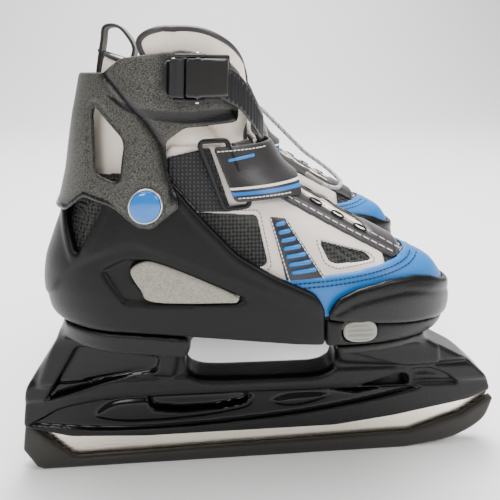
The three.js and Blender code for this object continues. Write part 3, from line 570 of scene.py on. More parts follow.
soft_grey, tree, shader = finish_of("moulded_soft_pvc", "#2A2724", 0.5, Specular_IOR_Level=0.3)
grained(tree, shader, 1.4, 0.12)
block = Block((-137, -7, -1), (NOSE_X + 7, 7, 30), 0.7)
profile = [(-130, 26.5), (-130.5, 11), (-122, 1.4), (-118, 0), (NOSE_X - 55, 0)]
profile += flowing([(NOSE_X - 50, 0.4), (NOSE_X - 24, 4), (NOSE_X - 4, 13), (NOSE_X + 4, 25)], steps=5).tolist()
profile += [(NOSE_X + 2, 27), (NOSE_X - 17, 17), (NOSE_X - 50, 8), (-99, 5.2)]
profile += flowing([(-103, 6), (-110, 11), (-118, 17.5), (-128.5, 26)], steps=5).tolist()
channel = common(within(profile, block.x, block.z), np.abs(block.y) - GUARD_HALF, 2.2)
room = common(np.abs(block.y) - BLADE_HALF - 0.3, 3.0 - block.z, 0.3)
both("guard", "guard", soft_grey, skin(cut(channel, room, 0.5), block), ["blade_guard"])


# ---------------------------------------------------------------- blade
# Stainless steel strip, ground along its faces and polished. The frame's own flat plate is right, and
# gets its steel.
steel, tree, shader = finish_of("ground_stainless_steel", "#FAF1E2", 0.24, Metallic=1.0)
where = add(tree, "ShaderNodeTexCoord")
stretch = add(tree, "ShaderNodeMapping", {"Scale": (8, 8, 900)}, {"Vector": where.outputs["Object"]})
scratch = add(tree, "ShaderNodeTexNoise", {"Scale": 1.0, "Detail": 3.0}, {"Vector": stretch.outputs[0]})
rough = add(tree, "ShaderNodeMapRange", {"To Min": 0.16, "To Max": 0.36}, {"Value": scratch.outputs["Fac"]})
tree.links.new(rough.outputs[0], shader.inputs["Roughness"])
embossed(tree, shader, scratch.outputs["Fac"], 0.1, strength=0.3)


def refinish(material, *nodes):
    for hand in HANDS:
        for node in nodes:
            piece = frame["nodes"][f"{hand}_{node}"]
            piece.data.materials.clear()
            piece.data.materials.append(material)


refinish(steel, "blade")


# ---------------------------------------------------------------- blade holder
# One black glass-filled nylon moulding with a fine satin grain: two towers that carry the boot, a beam
# that grips the blade, and polished recesses in its sides.
HOLDER_SATIN, HOLDER_GLOSS = 0.34, 0.09
nylon, tree, shader = finish_of("moulded_black_nylon", "#050505", HOLDER_SATIN, Specular_IOR_Level=0.25)
noise = grained(tree, shader, 1.1, 0.22)
polish = marked(tree, "polish")
sheen = add(tree, "ShaderNodeMapRange", {"To Min": HOLDER_SATIN, "To Max": HOLDER_GLOSS},
            {"Value": polish})
tree.links.new(sheen.outputs[0], shader.inputs["Roughness"])
level = add(tree, "ShaderNodeMath", {"operation": "SUBTRACT", 0: 1.0}, {1: polish})
height = add(tree, "ShaderNodeMath", {"operation": "MULTIPLY"}, {0: noise.outputs["Fac"], 1: level.outputs[0]})
grain = shader.inputs["Normal"].links[0].from_node
tree.links.new(height.outputs[0], grain.inputs["Height"])

PLATE_DEPTH = 11
BEAM_HALF = 8.5
TOWER_HALF = 12
block = Block((-135, -37, 13), (NOSE_X + 4, 37, 93), 0.85)
x, y, z = block.x, np.abs(block.y), block.z
profile = rounded([(-109, sole_z(-110) - PLATE_DEPTH), (-129.5, 46), (-130, 25), (-103, 18.5), (-60, 16.5),
                   (52, 16.5), (NOSE_X - 62, 20), (NOSE_X - 14, 27), (NOSE_X + 1, 32), (NOSE_X - 1, 40), (NOSE_X - 14, 52),
                   (TOE_X - 14, sole_z(TOE_X - 14) - 7), (50, sole_z(50) - 7), (0, 84), (-34, 84)], 2.5)
window = rounded([(-31, 95), (-34, 72), (-39, 56), (-33, 48), (-20, 46.5), (42, 46), (51, 48.5), (54, 57), (50, 66),
                  (46, 95)], 7)
rear_tower = rounded([(-112, 90), (-126, 46), (-96, 46), (-62, 50), (-42, 47), (-34, 90)], 6)
front_tower = rounded([(48, 90), (52, 52), (98, 48), (NOSE_X - 10, 50), (TOE_X - 8, 90)], 6)
pocket = rounded([(-101, 71), (-51, 62.5), (-53.5, 51.5), (-66, 50.5), (-80, 48.5), (-95, 44.5), (-119.5, 38)], 3.5)
leaf = flowing([(-127, 26), (-118, 31), (-109, 35), (-90, 38), (-60, 39.5), (0, 39), (60, 38), (108, 37),
                (84, 31), (40, 25), (0, 22), (-40, 20.3), (-80, 20.6), (-110, 23)], closed=True)
pods = [flowing([(-91, 28.5), (-85, 34.5), (-76, 37.5), (-60, 38), (-20, 37.7), (2, 37), (2, 29), (-16, 25.5),
                 (-40, 23.8), (-68, 23.6), (-84, 25.5)], closed=True),
        flowing([(12, 31), (24, 35.5), (44, 35.5), (52, 33), (40, 29), (24, 27.5)], closed=True)]
slots = [rounded([(-61, 38.2), (1, 37.5), (0, 31.5), (-18, 29), (-40, 28.5), (-57, 30.5)], 3.5),
         rounded([(44, 37.4), (88, 36.6), (66, 33.4)], 2)]
eye = rounded([(66, 38.6), (95, 45.2), (99, 43), (99, 38.2)], 1.5)
rib = within(rounded([(98, 47.5), (112, 48.5), (124, 44), (132, 36.5), (99, 37.5)], 4), x, z)
gusset = within(rounded([(52, 80), (52, 62), (98, 49), (118, 49), (118, 80)], 4), x, z)
half = BEAM_HALF + 1.2 * sunk(38 - z, 3) * sunk(z - 50, 2)
half = half + (TOWER_HALF - BEAM_HALF) * np.maximum(sunk(within(rear_tower, x, z), 5),
                                                    sunk(within(front_tower, x, z), 5))
half = half - 4.0 * sunk(within(pocket, x, z), 2.6)
half = half - 2.4 * sunk(within(leaf, x, z), 1.8)
half = half + 1.7 * np.maximum.reduce([sunk(within(o, x, z), 3.5) for o in pods])
half = half - 4.5 * np.maximum.reduce([sunk(within(o, x, z), 1.2) for o in slots])
half = half + 1.5 * sunk(gusset, 2.5) - 2.0 * sunk(rib, 1.2) + 1.6 * sunk(rib + 3, 4)
body = common(within(profile, x, z), y - half, 2.4)
off = block.stand_off()
along_sole = z - sole_z(x)
flange = common(common(off - 4.6, np.abs(along_sole + PLATE_DEPTH / 2 + 0.5) - PLATE_DEPTH / 2 - 0.2, 3.0),
                np.abs(x + 71) - 37.5, 6.0)
ledge = common(common(off - 4.0, np.abs(along_sole + 2.7) - 2.4, 1.5), np.abs(x - 78.5) - 30.5, 4.0)
body = cut(body, within(window, x, z), 4.0)
body = joined(joined(body, flange, 9.0), ledge, 7.0)
body = common(body, along_sole + 0.3, 0.6)
body = cut(body, within(eye, x, z), 1.6)
blade_room = common(y - BLADE_HALF - 0.3, within([(-140, 10), (160, 10), (NOSE_X, 33), (NOSE_X - 14, 32),
                                                   (NOSE_X - 62, 24), (-104, 24), (-129, 30)], x, z), 0.2)
shape = skin(cut(body, blade_room, 0.4), block)
px, pz = shape[0][:, 0], shape[0][:, 2]
shine = np.maximum.reduce([sunk(within(o, px, pz), 1.2) for o in (pocket, leaf)])
both("holder_moulding", "boot", nylon, shape, ["holder"], marks={"polish": shine})

# ---------------------------------------------------------------- sole bolts
# Zinc-plated, hidden inside the boot. The frame's own bolts get their plating.
zinc, _, _ = finish_of("zinc_plated_steel", "#B9BABB", 0.35, Metallic=1.0)
refinish(zinc, "sole_bolt_rear", "sole_bolt_front")


# ---------------------------------------------------------------- rear shell
# A hard black polypropylene shell around the heel and the middle of the foot, satin, with a raised
# upper edge, a crease that runs forward from the heel, and a leaf-shaped recess for the trim.
def parting_z(x):
    return 92.6 - 14.5 * (x - PARTING_X) / (TOE_X - PARTING_X)


shell_black, tree, shader = finish_of("polypropylene_black", "#080808", 0.4, Specular_IOR_Level=0.2)
grained(tree, shader, 1.3, 0.12)
CHEEK = [(PARTING_X, 97), (36, 106), (13, 116), (-8, 128), (-29, 149), (-38, 159), (-46, 168), (-70, 168),
         (-82, 160), (-85, 150.5), (-96, 128), (-108, 151), (-122, 152)]
TRIM = flowing([(-67, 121), (-61, 126), (-52, 125.5), (-30, 117), (-8, 107), (-7.5, 103.5), (-12, 102.5),
                (-53, 104), (-61, 111)], closed=True)
block = Block((-125, -45, 68), (42, 46, 170), 1.0)
x, y, z = block.x, block.y, block.z
off = block.stand_off()
cheek = [(PARTING_X, 60), *CHEEK, (-140, 152), (-140, 60)]
edge = within(rounded(cheek, 4), x, z)
crease = flowing([(-128, 100), (-114, 106), (-107, 116), (-96, 126), (-81, 132.5), (-66, 136.5), (-52, 132),
                  (-20, 119.5), (8, 108.5), (45, 95)])
below = within([*crease.tolist(), (45, 40), (-125, 40)], x, z)
leaf = rounded([(-83, 122), (-70, 128), (-58, 127), (0, 104.5), (-8, 101.8), (-54, 102), (-70, 104)], 2)
hollow = within(leaf, x, z)
outer = SHELL_OUT - 1.3 * sunk(below, 3.5) - 1.9 * sunk(hollow, 1.6)
outer = outer + 0.5 * sunk(-edge - 5.5, 1.2) * sunk(-below, 3)
outer = outer - 0.8 * sunk(within(TRIM, x, z) - 0.3, 0.8) * (y < 0)
shell = common(off - outer, sole_z(x) - z, 5.0)
room = common(off - SHELL_IN, sole_z(x) + SHELL_FLOOR - z, 1.0)
shell = cut(common(shell, edge, 2.2), room, 0.8)
both("rear_shell_moulding", "boot", shell_black, skin(shell, block), ["rear_shell"])


# ---------------------------------------------------------------- shell inlay
# A silver speckled trim of painted plastic, glued in the recess on the outer side.
silver, tree, shader = finish_of("painted_abs_silver", "#9F9B8F", 0.38, Metallic=0.25)
grained(tree, shader, 1.0, 0.12, 0.25, "#6F6C62", "#99968A")
block = Block((-72, -44, 98), (-3, -28, 130), 0.6)
off = block.stand_off()
plate = common(common(off - SHELL_OUT + 0.9, 3.6 - off, 0.5), within(TRIM, block.x, block.z) + 0.5, 1.2)
both("inlay_trim", "boot", silver, skin(plate, block), ["shell_inlay"])


# ---------------------------------------------------------------- toe section: shell and rubber cap
# The lower half is a black shell that slides in rails, and the cap over it is a dark rubber bumper
# with a moulded crease along it.
rubber, tree, shader = finish_of("moulded_rubber", "#060606", 0.3, Specular_IOR_Level=0.25)
grained(tree, shader, 1.2, 0.16)
BUTTON_X, BUTTON_Z = 60.5, 85.4
OVAL_POWER = 2.6  # between an ellipse and a rectangle


def button_oval(x, z, half_length, half_height):
    """Negative inside the button's rounded oval, 0 on its edge."""
    square = np.abs((x - BUTTON_X) / half_length) ** OVAL_POWER + np.abs((z - BUTTON_Z) / half_height) ** OVAL_POWER
    return square ** (1 / OVAL_POWER) - 1


block = Block((8, -46, 62), (TOE_X + 8, 47, 122), 1.0)
x, y, z = block.x, block.y, block.z
off = block.stand_off()
lower = common(off - SHELL_OUT, sole_z(x) - z, 6.0)
lower = cut(lower, common(off - SHELL_IN, sole_z(x) + SHELL_FLOOR - z, 1.0), 0.8)
lower = common(lower, np.maximum(z - parting_z(x), PARTING_X + 0.3 - x), 1.4)
lower = cut(lower, common(button_oval(x, z, 10.4, 6.3) * 7, y + 20, 0.3), 1.2)
rail = common(np.maximum(2.9 - off, off - 4.0), np.maximum(np.maximum(12 - x, x - 47), z - 96), 0.4)
rail = np.maximum(rail, sole_z(x) + SHELL_FLOOR - z)
plate_room = common(np.abs(y) - 16.3, np.maximum(x - 100, sole_z(x) - z - 20), 0.3)
lower = cut(joined(lower, rail, 0.3), plate_room + FAR * (z > sole_z(x) + 4.5), 0.3)
both("toe_shell_moulding", "toe", shell_black, skin(lower, block), ["toe_shell"])

CAP_TOP = [(41.6, 93), (43, 98), (48, 103.5), (60, 107.5), (80, 109.5), (99, 108.5), (112, 105), (121, 100.5),
           (131, 97)]
over = within(rounded([*CAP_TOP, (160, 98), (160, 50), (41.6, 50)], 3), x, z)
groove = to_line(flowing([(46, 96), (62, 101), (90, 102), (112, 97), (132, 90)]), x, z)
bulge = CAP_OUT - 0.7 * np.exp(-(groove / 1.3) ** 2) + 0.35 * sunk(over + 4, 3)
cap = common(common(off - bulge, 4.5 - off, 0.8), over, 1.8)
cap = common(cap, parting_z(x) + 0.3 - z, 2.2)
both("toe_bumper", "toe", rubber, skin(cap, block), ["toe_cap"])


# ---------------------------------------------------------------- size button
# A grey oval push button with level ribs, in the outer side of the toe section.
button_grey, tree, shader = finish_of("acetal_grey", "#86857D", 0.45)
grained(tree, shader, 1.0, 0.06)
RIB_PITCH = 2.5
face_half, face_shift = side_y(BUTTON_X, BUTTON_Z, SHELL_OUT)
face_y = float(face_shift - face_half)
block = Block((BUTTON_X - 12, face_y - 3, BUTTON_Z - 8), (BUTTON_X + 12, face_y + 8, BUTTON_Z + 8), 0.4)
x, y, z = block.x, block.y, block.z
oval = button_oval(x, z, 9.6, 5.6) * 6.5
ribs = 0.45 * np.cos((z - BUTTON_Z) * 2 * math.pi / RIB_PITCH) * sunk(oval + 1.2, 1.0)
knob = common(oval, common(face_y - 1.2 - ribs - y, y - face_y - 1.2, 0.5), 1.2)
both("push_button", "button", button_grey, skin(knob, block, relax=1), ["size_button"])


# ---------------------------------------------------------------- stitched and sewn layers
# Stitching is twisted thread: short tight stitches that stand a little proud of the face.
def on_side(x, z, off, side=-1, front=0.0):
    half, shift = side_y(x, z, off, front)
    return np.array([x, float(shift) + side * float(half), z])


def stitched(line, off, side=-1, pitch=2.6, length=1.7, radius=0.32, place=on_side):
    """A row of stitches along a line in side view, lying on the face that stands off by off."""
    line = np.array(line, dtype=float)
    run = np.concatenate([[0], np.cumsum(np.linalg.norm(np.diff(line, axis=0), axis=1))])
    parts = []
    for start in np.arange(0.5, run[-1] - length, pitch):
        spots = [[np.interp(start + length * t, run, line[:, i]) for i in (0, 1)] for t in (0, 0.5, 1)]
        ends = [place(a, b, off, side) for a, b in spots]
        if place is not on_side or all(a < section(b)[1] + off - 0.6 for a, b in spots):
            parts.append(tube(ends, radius, sides=6)[:2])
    return gathered(parts)


thread_white, _, _ = finish_of("polyester_thread_white", "#DAD8D2", 0.8)
thread_dark, _, _ = finish_of("polyester_thread_dark", "#101828", 0.8)


def leather(name, colour, roughness=0.45):
    """Coated synthetic leather, with its fine embossed grain."""
    material, tree, shader = finish_of(name, colour, roughness, Coat_Weight=0.15, Coat_Roughness=0.3)
    grained(tree, shader, 0.9, 0.03)
    return material


def woven(tree, shader, pitch, depth, dark, light):
    """An open knit or coarse weave: round holes at an even pitch, darker inside."""
    holes = add(tree, "ShaderNodeTexVoronoi", {"Scale": 1 / pitch, "Randomness": 0.15}, {"Vector": marked(tree)})
    embossed(tree, shader, holes.outputs["Distance"], depth)
    ramp = add(tree, "ShaderNodeValToRGB", None, {"Fac": holes.outputs["Distance"]})
    ramp.color_ramp.elements[0].color = linear(dark)
    ramp.color_ramp.elements[0].position = 0.3
    ramp.color_ramp.elements[1].position = 0.62
    ramp.color_ramp.elements[1].color = linear(light)
    tree.links.new(ramp.outputs["Color"], shader.inputs["Base Color"])


# ---------------------------------------------------------------- toe vamp
# A band of blue synthetic leather over the toes, sewn down with two dark rows along its upper edge.
blue_leather = leather("pu_leather_blue", "#0068B0", 0.46)
VAMP_TOP = [(17, 113.5), (40, 114), (60, 114.8), (80, 116), (95, 117.5), (106, 119), (136, 121)]
VAMP = [(40, 90), (60, 92), (140, 80), (140, 121), *VAMP_TOP[::-1], (17, 110), (33, 104)]
block = Block((14, -42, 84), (TOE_X, 43, 138), 1.0)
x, y, z = block.x, block.y, block.z
off = block.stand_off()
area = within(rounded(VAMP, 2.5), x, z)
vamp = common(common(off - BAND_OUT - 0.3 * sunk(area + 3, 4), 1.2 - off, 0.6), area, 1.6)
both("vamp_band", "toe", blue_leather, skin(vamp, block), ["toe_vamp"])
rows = []
for side in (-1, 1):
    for down in (2.2, 4.6):
        row = [(a + 1, b - down) for a, b in flowing(VAMP_TOP)]
        rows.append(stitched(row, BAND_OUT + 0.35, side))
both("vamp_stitches", "toe", thread_dark, gathered(rows))


# ---------------------------------------------------------------- upper
# Black sandwich mesh, with cream synthetic leather sewn over it that leaves two windows open, and a
# dark strip between the windows with raised blue bars.
SLOT_HALF = 11
knit, tree, shader = finish_of("sandwich_mesh_black", "#1B1B1B", 0.85)
woven(tree, shader, 2.1, 0.8, "#030303", "#3C3C3A")
cream = leather("pu_leather_cream", "#DCD2CA", 0.42)
dark_leather = leather("pu_leather_charcoal", "#2B2628", 0.4)
block = Block((-118, -42, 80), (TOE_X, 43, 190), 0.9)
x, y, z = block.x, block.y, block.z
off = block.stand_off()
whole = within([(150, 130), (60, 187), (-46, 187), (-58, 174), (-140, 166), (-140, 84), (150, 70)], x, z)
whole = np.maximum(whole, sole_z(x) + SHELL_FLOOR + 0.3 - z)
lacing_gap = np.maximum(np.maximum(np.abs(y) - SLOT_HALF, x - 86), np.maximum(-40 - x, 113 - z))
whole = cut(whole, lacing_gap, 1.0)
WINDOWS = [rounded([(-32, 150), (3, 147.5), (9, 121.5), (4, 119.5), (-14, 129)], 2.5),
           rounded([(40, 131), (45, 120.5), (50, 119), (72, 118.2), (69, 121.5)], 2)]
STRIP = [(10, 147), (20.5, 145), (47, 106), (21, 106)]
windows = np.minimum(within(WINDOWS[0], x, z), within(WINDOWS[1], x, z))
toe_mesh = 81 - x
mesh_layer = common(common(off - 1.5, 0.4 - off, 0.4), whole, 0.8)
both("mesh_layer", "boot", knit, skin(mesh_layer, block), ["upper"])
open_mesh = joined(np.minimum(windows, x + 60), toe_mesh, 0.5)
cover = cut(common(common(off - UPPER_OUT - 0.2, 0.2 - off, 0.4), whole, 1.0), open_mesh, 1.2)
both("cream_overlay", "boot", cream, skin(cover, block))
strip = within(rounded(STRIP, 1.5), x, z)
panel = common(common(off - UPPER_OUT - 0.9, 1.6 - off, 0.4), strip, 0.9)
both("side_strip", "boot", dark_leather, skin(panel, block))
bar_blue, _, _ = finish_of("moulded_tpu_blue", "#0072BC", 0.38)
bars, rows = [], []
for side in (-1, 1):
    for k in range(7):
        t = k / 6
        centre = np.array([16.8 + 12.6 * t, 142.5 - 25 * t])
        reach = 2.2 + 4.4 * t
        ends = [on_side(centre[0] + s * reach, centre[1] + s * reach * 0.08, UPPER_OUT + 1.2, side)
                for s in (-1, 0, 1)]
        bars.append(tube(ends, 1.25, sides=8)[:2])
    for a, b in (((11, 146), (22, 110)), ((20, 144), (43, 110))):
        rows.append(stitched([a, b], UPPER_OUT + 1.1, side, pitch=2.2, length=1.4))
both("strip_bars", "boot", bar_blue, gathered(bars))
both("upper_stitches", "boot", thread_white, gathered(rows))
thread_grey, _, _ = finish_of("polyester_thread_grey", "#6C6A66", 0.8)
rows = []
for outline in WINDOWS:
    out = outline - outline.mean(axis=0)
    out = outline + out / np.linalg.norm(out, axis=1)[:, None] * 3.0
    for side in (-1, 1):
        rows.append(stitched([*out, out[0]], UPPER_OUT + 0.3, side, pitch=2.2, length=1.3, radius=0.26))
both("window_stitches", "boot", thread_grey, gathered(rows))


# ---------------------------------------------------------------- eyestay
# A padded dark band on both sides of the lacing gap, closed at the toe, with a white row of stitches
# along each edge and pressed eyelets.
EYESTAY = [(-16, 187), (-16, 156), (20, 134), (60, 116), (95, 117), (105, 131), (60, 190)]
block = Block((-20, -30, 110), (TOE_X - 10, 31, 192), 0.9)
x, y, z = block.x, block.y, block.z
off = block.stand_off()
band = np.maximum(within(rounded(EYESTAY, 4), x, z), np.abs(y) - SLOT_HALF - 8 - 6 * np.clip((z - 118) / 40, 0, 1))
band = cut(band, np.maximum(np.maximum(np.abs(y) - SLOT_HALF, x - 74), 112 - z), 1.5)
stay = common(common(off - BAND_OUT - 2.8 * sunk(band + 0.6, 4), 1.2 - off, 0.8), band, 1.6)
both("eyestay_band", "boot", dark_leather, skin(stay, block), ["eyestay"])


rows, rings = [], []
for side in (-1, 1):
    rows.append(stitched([(side * (SLOT_HALF + 1.8), 182), (side * (SLOT_HALF + 1.8), 119)], BAND_OUT + 0.9,
                         place=on_front))
    rows.append(stitched([(side * (SLOT_HALF + 12.6), 182), (side * (SLOT_HALF + 12.2), 156),
                          (side * (SLOT_HALF + 7), 119)], BAND_OUT + 0.4, place=on_front))
    for height in EYELET_HEIGHTS:
        spots = [on_front(side * (SLOT_HALF + 4.6) + 2.1 * math.cos(a), height + 2.1 * math.sin(a), BAND_OUT + 2.5)
                 for a in np.linspace(0, 2 * math.pi, 14)[:-1]]
        rings.append(tube(spots, 0.55, sides=6, closed=True)[:2])
both("eyestay_stitches", "boot", thread_white, gathered(rows))
brass_black, _, _ = finish_of("lacquered_eyelet", "#202022", 0.3, Metallic=0.8)
both("eyelets", "boot", brass_black, gathered(rings))


# ---------------------------------------------------------------- liner
# The padded inner boot: foam between brushed cream knit, with black piping along its collar.
brushed, tree, shader = finish_of("brushed_knit_cream", "#F5E8D8", 0.9, Sheen_Weight=0.3)
grained(tree, shader, 0.7, 0.25)
piping_black, _, _ = finish_of("piping_black", "#15161A", 0.6)
TONGUE_ZONE = [(86, 112), (62, 122), (34, 138), (8, 156), (-14, 176), (-24, 198), (-50, 208), (-62, 232),
               (-70, 250), (-60, 262), (60, 262), (160, 150), (160, 112)]
COLLAR = [(-40, 216), (-60, 231), (-84, 239), (-96, 244)]
block = Block((-118, -38, 78), (TOE_X, 38, 250), 1.1)
x, y, z = block.x, block.y, block.z
off = block.stand_off()
tongue_zone = within(TONGUE_ZONE, x, z)
outline = within([(-140, 60), (160, 60), (160, 216), *COLLAR, (-140, 244)], x, z)
outline = np.maximum(outline, sole_z(x) + SHELL_FLOOR + 0.3 - z)
wall = common(off, outline, 6.0)
foot = common(off + 7, sole_z(x) + SHELL_FLOOR + 4 - z, 3.0)
padded_wall = cut(cut(wall, foot, 3.0), tongue_zone - 0.5, 3.0)
both("padded_liner", "boot", brushed, skin(padded_wall, block), ["liner"])
sides = []
for side in (-1, 1):
    sides.append(tube([on_side(a, b - 1.2, -0.4, side) for a, b in flowing(COLLAR)], 1.3, sides=8)[:2])
    sides.append(tube([on_side(a, b, 0.2, side) for a, b in ((-2.5, 204), (-2.5, 190), (-3, 176))], 1.9,
                      sides=8)[:2])
both("collar_piping", "boot", piping_black, gathered(sides))


# ---------------------------------------------------------------- tongue
# Padded, with a cream knit face and a thick black rim of synthetic leather around its top.
block = Block((-72, -38, 106), (100, 38, 260), 1.1)
x, y, z = block.x, block.y, block.z
ramp_up = np.clip((z - 190) / 16, 0, 1)
off = block.stand_off(front=6 * ramp_up)
rim_line = [(-66, 250), (-54, 255.5), (-30, 256), (-8, 247), (4, 228), (40, 200), (160, 120), (160, 60), (-66, 60)]
rim = within(rounded(rim_line, 8), x, z)
zone = within(TONGUE_ZONE, x, z)
tongue = common(common(off - 1.2 * ramp_up, -6 - off, 3.0), np.maximum(rim, zone), 4.0)
both("padded_tongue", "boot", brushed, skin(tongue, block), ["tongue"])
sides = []
for side in (-1, 1):
    line = flowing([(-61, 236), (-65, 247), (-54, 253.2), (-32, 253.6), (-16, 247.5), (-7, 239), (-2.6, 228),
                    (-1.4, 214)])
    sides.append(tube([on_side(a, b, -0.6, side, front=6.0) for a, b in line], 2.4, sides=10)[:2])
both("tongue_rim", "boot", dark_leather, gathered(sides))


# ---------------------------------------------------------------- footbed
# A die-cut felt insole inside the liner.
felt, _, _ = finish_of("needled_felt", "#4A4A4C", 0.95)
block = Block((-110, -30, 84), (110, 32, 104), 1.2)
off = block.stand_off()
above = block.z - sole_z(block.x)
sole = common(off + 7.4, np.abs(above - SHELL_FLOOR - 5.8) - 1.4, 1.0)
both("insole", "boot", felt, skin(sole, block), ["footbed"])


# ---------------------------------------------------------------- pull loop
# A grey ribbed webbing with black edges, sewn to both faces of the collar at the heel.
webbing_grey, tree, shader = finish_of("ribbed_webbing_grey", "#7C7D7A", 0.8)
rib = add(tree, "ShaderNodeTexWave", {"Scale": 0.35, "bands_direction": "Z"}, {"Vector": marked(tree)})
embossed(tree, shader, rib.outputs["Fac"], 0.3, strength=0.8)
heel_at = float(np.interp(222, HEIGHTS, SECTIONS[0]))
heel_top = float(np.interp(244, HEIGHTS, SECTIONS[0]))
outer_x, inner_x = heel_at - 0.3 - 0.9, heel_top + 7 + 1.2 + 0.9
middle = (outer_x + inner_x) / 2
arch = flowing([(outer_x, 222.5), (outer_x + 1, 236), (outer_x + 2.4, 249), (middle - 3.2, 257.2),
                (middle + 3, 258.6), (middle + 9, 255), (inner_x + 9, 245), (inner_x + 8, 236), (inner_x + 6, 224)])


def strap_along(path, half, thick):
    """A flat band along a path in side view, as wide as twice half across the skate."""
    path = np.array(path)
    normal = np.gradient(path, axis=0)[:, ::-1] * (-1, 1)
    normal /= np.linalg.norm(normal, axis=1)[:, None]
    corners = [(-1, -half + 0.4), (-0.5, -half), (0.5, -half), (1, -half + 0.4), (1, half - 0.4), (0.5, half),
               (-0.5, half), (-1, half - 0.4)]
    verts = [(px + n * nx * thick / 2, v, pz + n * nz * thick / 2)
             for (px, pz), (nx, nz) in zip(path, normal) for n, v in corners]
    faces = []
    for i in range(len(path) - 1):
        for k in range(8):
            m = (k + 1) % 8
            faces.append((i * 8 + k, (i + 1) * 8 + k, (i + 1) * 8 + m, i * 8 + m))
    faces.append(tuple(range(8)))
    faces.append(tuple((len(path) - 1) * 8 + k for k in range(8))[::-1])
    return np.array(verts), faces


both("heel_loop", "boot", webbing_grey, strap_along(arch, 5.6, 1.7), ["pull_loop"])
sides = [tube([(a, s * 6.1, b) for a, b in arch], 0.95, sides=8)[:2] for s in (-1, 1)]
both("heel_loop_edges", "boot", piping_black, gathered(sides))


# ---------------------------------------------------------------- instep strap
# A coarse black basket-weave webbing is sewn to the upper and holds a wire ring. A padded strap, with
# sewn edges and printed stripes, comes around the front and is doubled back through the ring.
STRAP_LOW, STRAP_TOP = 155, 187
webbing_black, tree, shader = finish_of("basket_weave_black", "#1D1D20", 0.7)
yarn, weft = (add(tree, "ShaderNodeTexWave", {"Scale": 0.14, "bands_direction": axis}, {"Vector": marked(tree)})
              for axis in "XZ")
cross = add(tree, "ShaderNodeMath", {"operation": "MULTIPLY"}, {0: yarn.outputs["Fac"], 1: weft.outputs["Fac"]})
embossed(tree, shader, cross.outputs[0], 0.7)
tint = add(tree, "ShaderNodeMix", {"data_type": "RGBA", 6: linear("#040405"), 7: linear("#3C3C40")},
           {0: cross.outputs[0]})
tree.links.new(tint.outputs[2], shader.inputs["Base Color"])
block = Block((-52, -44, 148), (-8, -24, 190), 0.7)
x, y, z = block.x, block.y, block.z
off = block.stand_off()
cheek_gap = np.maximum(within([(-200, 60), *CHEEK[-3::-1], (60, 60)], x, z), off - 7.4)
band = within(rounded([(-48, 151), (-11, 150), (-24, 186), (-48, 181)], 1.5), x, z)
webbing = cut(common(common(off - BAND_OUT, 2.6 - off, 0.5), band, 0.8), cheek_gap, 0.5)
both("instep_band", "boot", webbing_black, skin(webbing, block), ["instep_webbing"])

wire, _, _ = finish_of("coated_wire_black", "#1A1B1E", 0.3, Metallic=0.5)
strap_face = float(side_y(-20.0, 171.0, 7.4)[0])
WIRE_BEND = 2.6
ring_line = []
for cx, cz, start in ((-16, 187, 0), (-27, 187, 90), (-13.5, 155, 180), (-3.5, 155, 270)):
    for step in range(5):
        a = math.radians(start + 22.5 * step)
        ring_line.append((cx + WIRE_BEND * math.cos(a), -strap_face + (1.4 if 90 <= start < 270 else 5.0),
                          cz + WIRE_BEND * math.sin(a)))
both("wire_ring", "boot", wire, tube(ring_line, 1.45, sides=12, closed=True)[:2], ["strap_ring"])

STRAP_FRONT = 8.1
block = Block((-22, -46, 150), (32, 47, 192), 0.9)
x, y, z = block.x, block.y, block.z
off = block.stand_off(front=STRAP_FRONT)
middle_z = (STRAP_LOW + STRAP_TOP) / 2
strap_area = common(np.abs(z - middle_z) - 15.6, -23 + 0.42 * (STRAP_TOP - z) - x, 3.0)
strap = common(common(off - 7.2, 4.5 - off, 2.4), strap_area, 2.0)
shape = skin(strap, block)
strap_leather, tree, shader = finish_of("coated_nylon_black", "#211E1E", 0.38)
grained(tree, shader, 1.0, 0.12)
split = add(tree, "ShaderNodeSeparateXYZ", None, {0: marked(tree)})
ramp = add(tree, "ShaderNodeValToRGB")
height = add(tree, "ShaderNodeMapRange", {"From Min": 150.0, "From Max": 190.0}, {"Value": split.outputs["Z"]})
tree.links.new(height.outputs[0], ramp.inputs["Fac"])
ramp.color_ramp.interpolation = "CONSTANT"
STRAP_BLACK = "#211E1E"
stripes = [(0.0, STRAP_BLACK), (0.235, "#0068B8"), (0.285, STRAP_BLACK), (0.315, "#D9D7D0"), (0.345, STRAP_BLACK)]
while len(ramp.color_ramp.elements) < len(stripes):
    ramp.color_ramp.elements.new(0.5)
for element, (position, colour) in zip(ramp.color_ramp.elements, stripes):
    element.position = position
    element.color = linear(colour)
tree.links.new(ramp.outputs["Color"], shader.inputs["Base Color"])
both("padded_strap", "boot", strap_leather, shape, ["strap_pad"])


def on_strap(x, z, off, side=-1):
    return on_side(x, z, off, side, front=STRAP_FRONT)


rows = [stitched([(a, h), (b, h)], 7.25, side, pitch=2.3, length=1.5, place=on_strap)
        for side in (-1, 1) for a, b, h in ((-8, 26, STRAP_LOW + 3.2), (-20, 10, STRAP_TOP - 3.2))]
both("strap_stitches", "boot", thread_white, gathered(rows))
DASH = [(-13, 178.5), (-8, 179), (-3, 179.5), (2, 180)]
dashes = [tube([on_strap(a, h, 6.6, side) for a, h in DASH], 1.0, sides=8)[:2] for side in (-1, 1)]
both("strap_dashes", "boot", bar_blue, gathered(dashes))


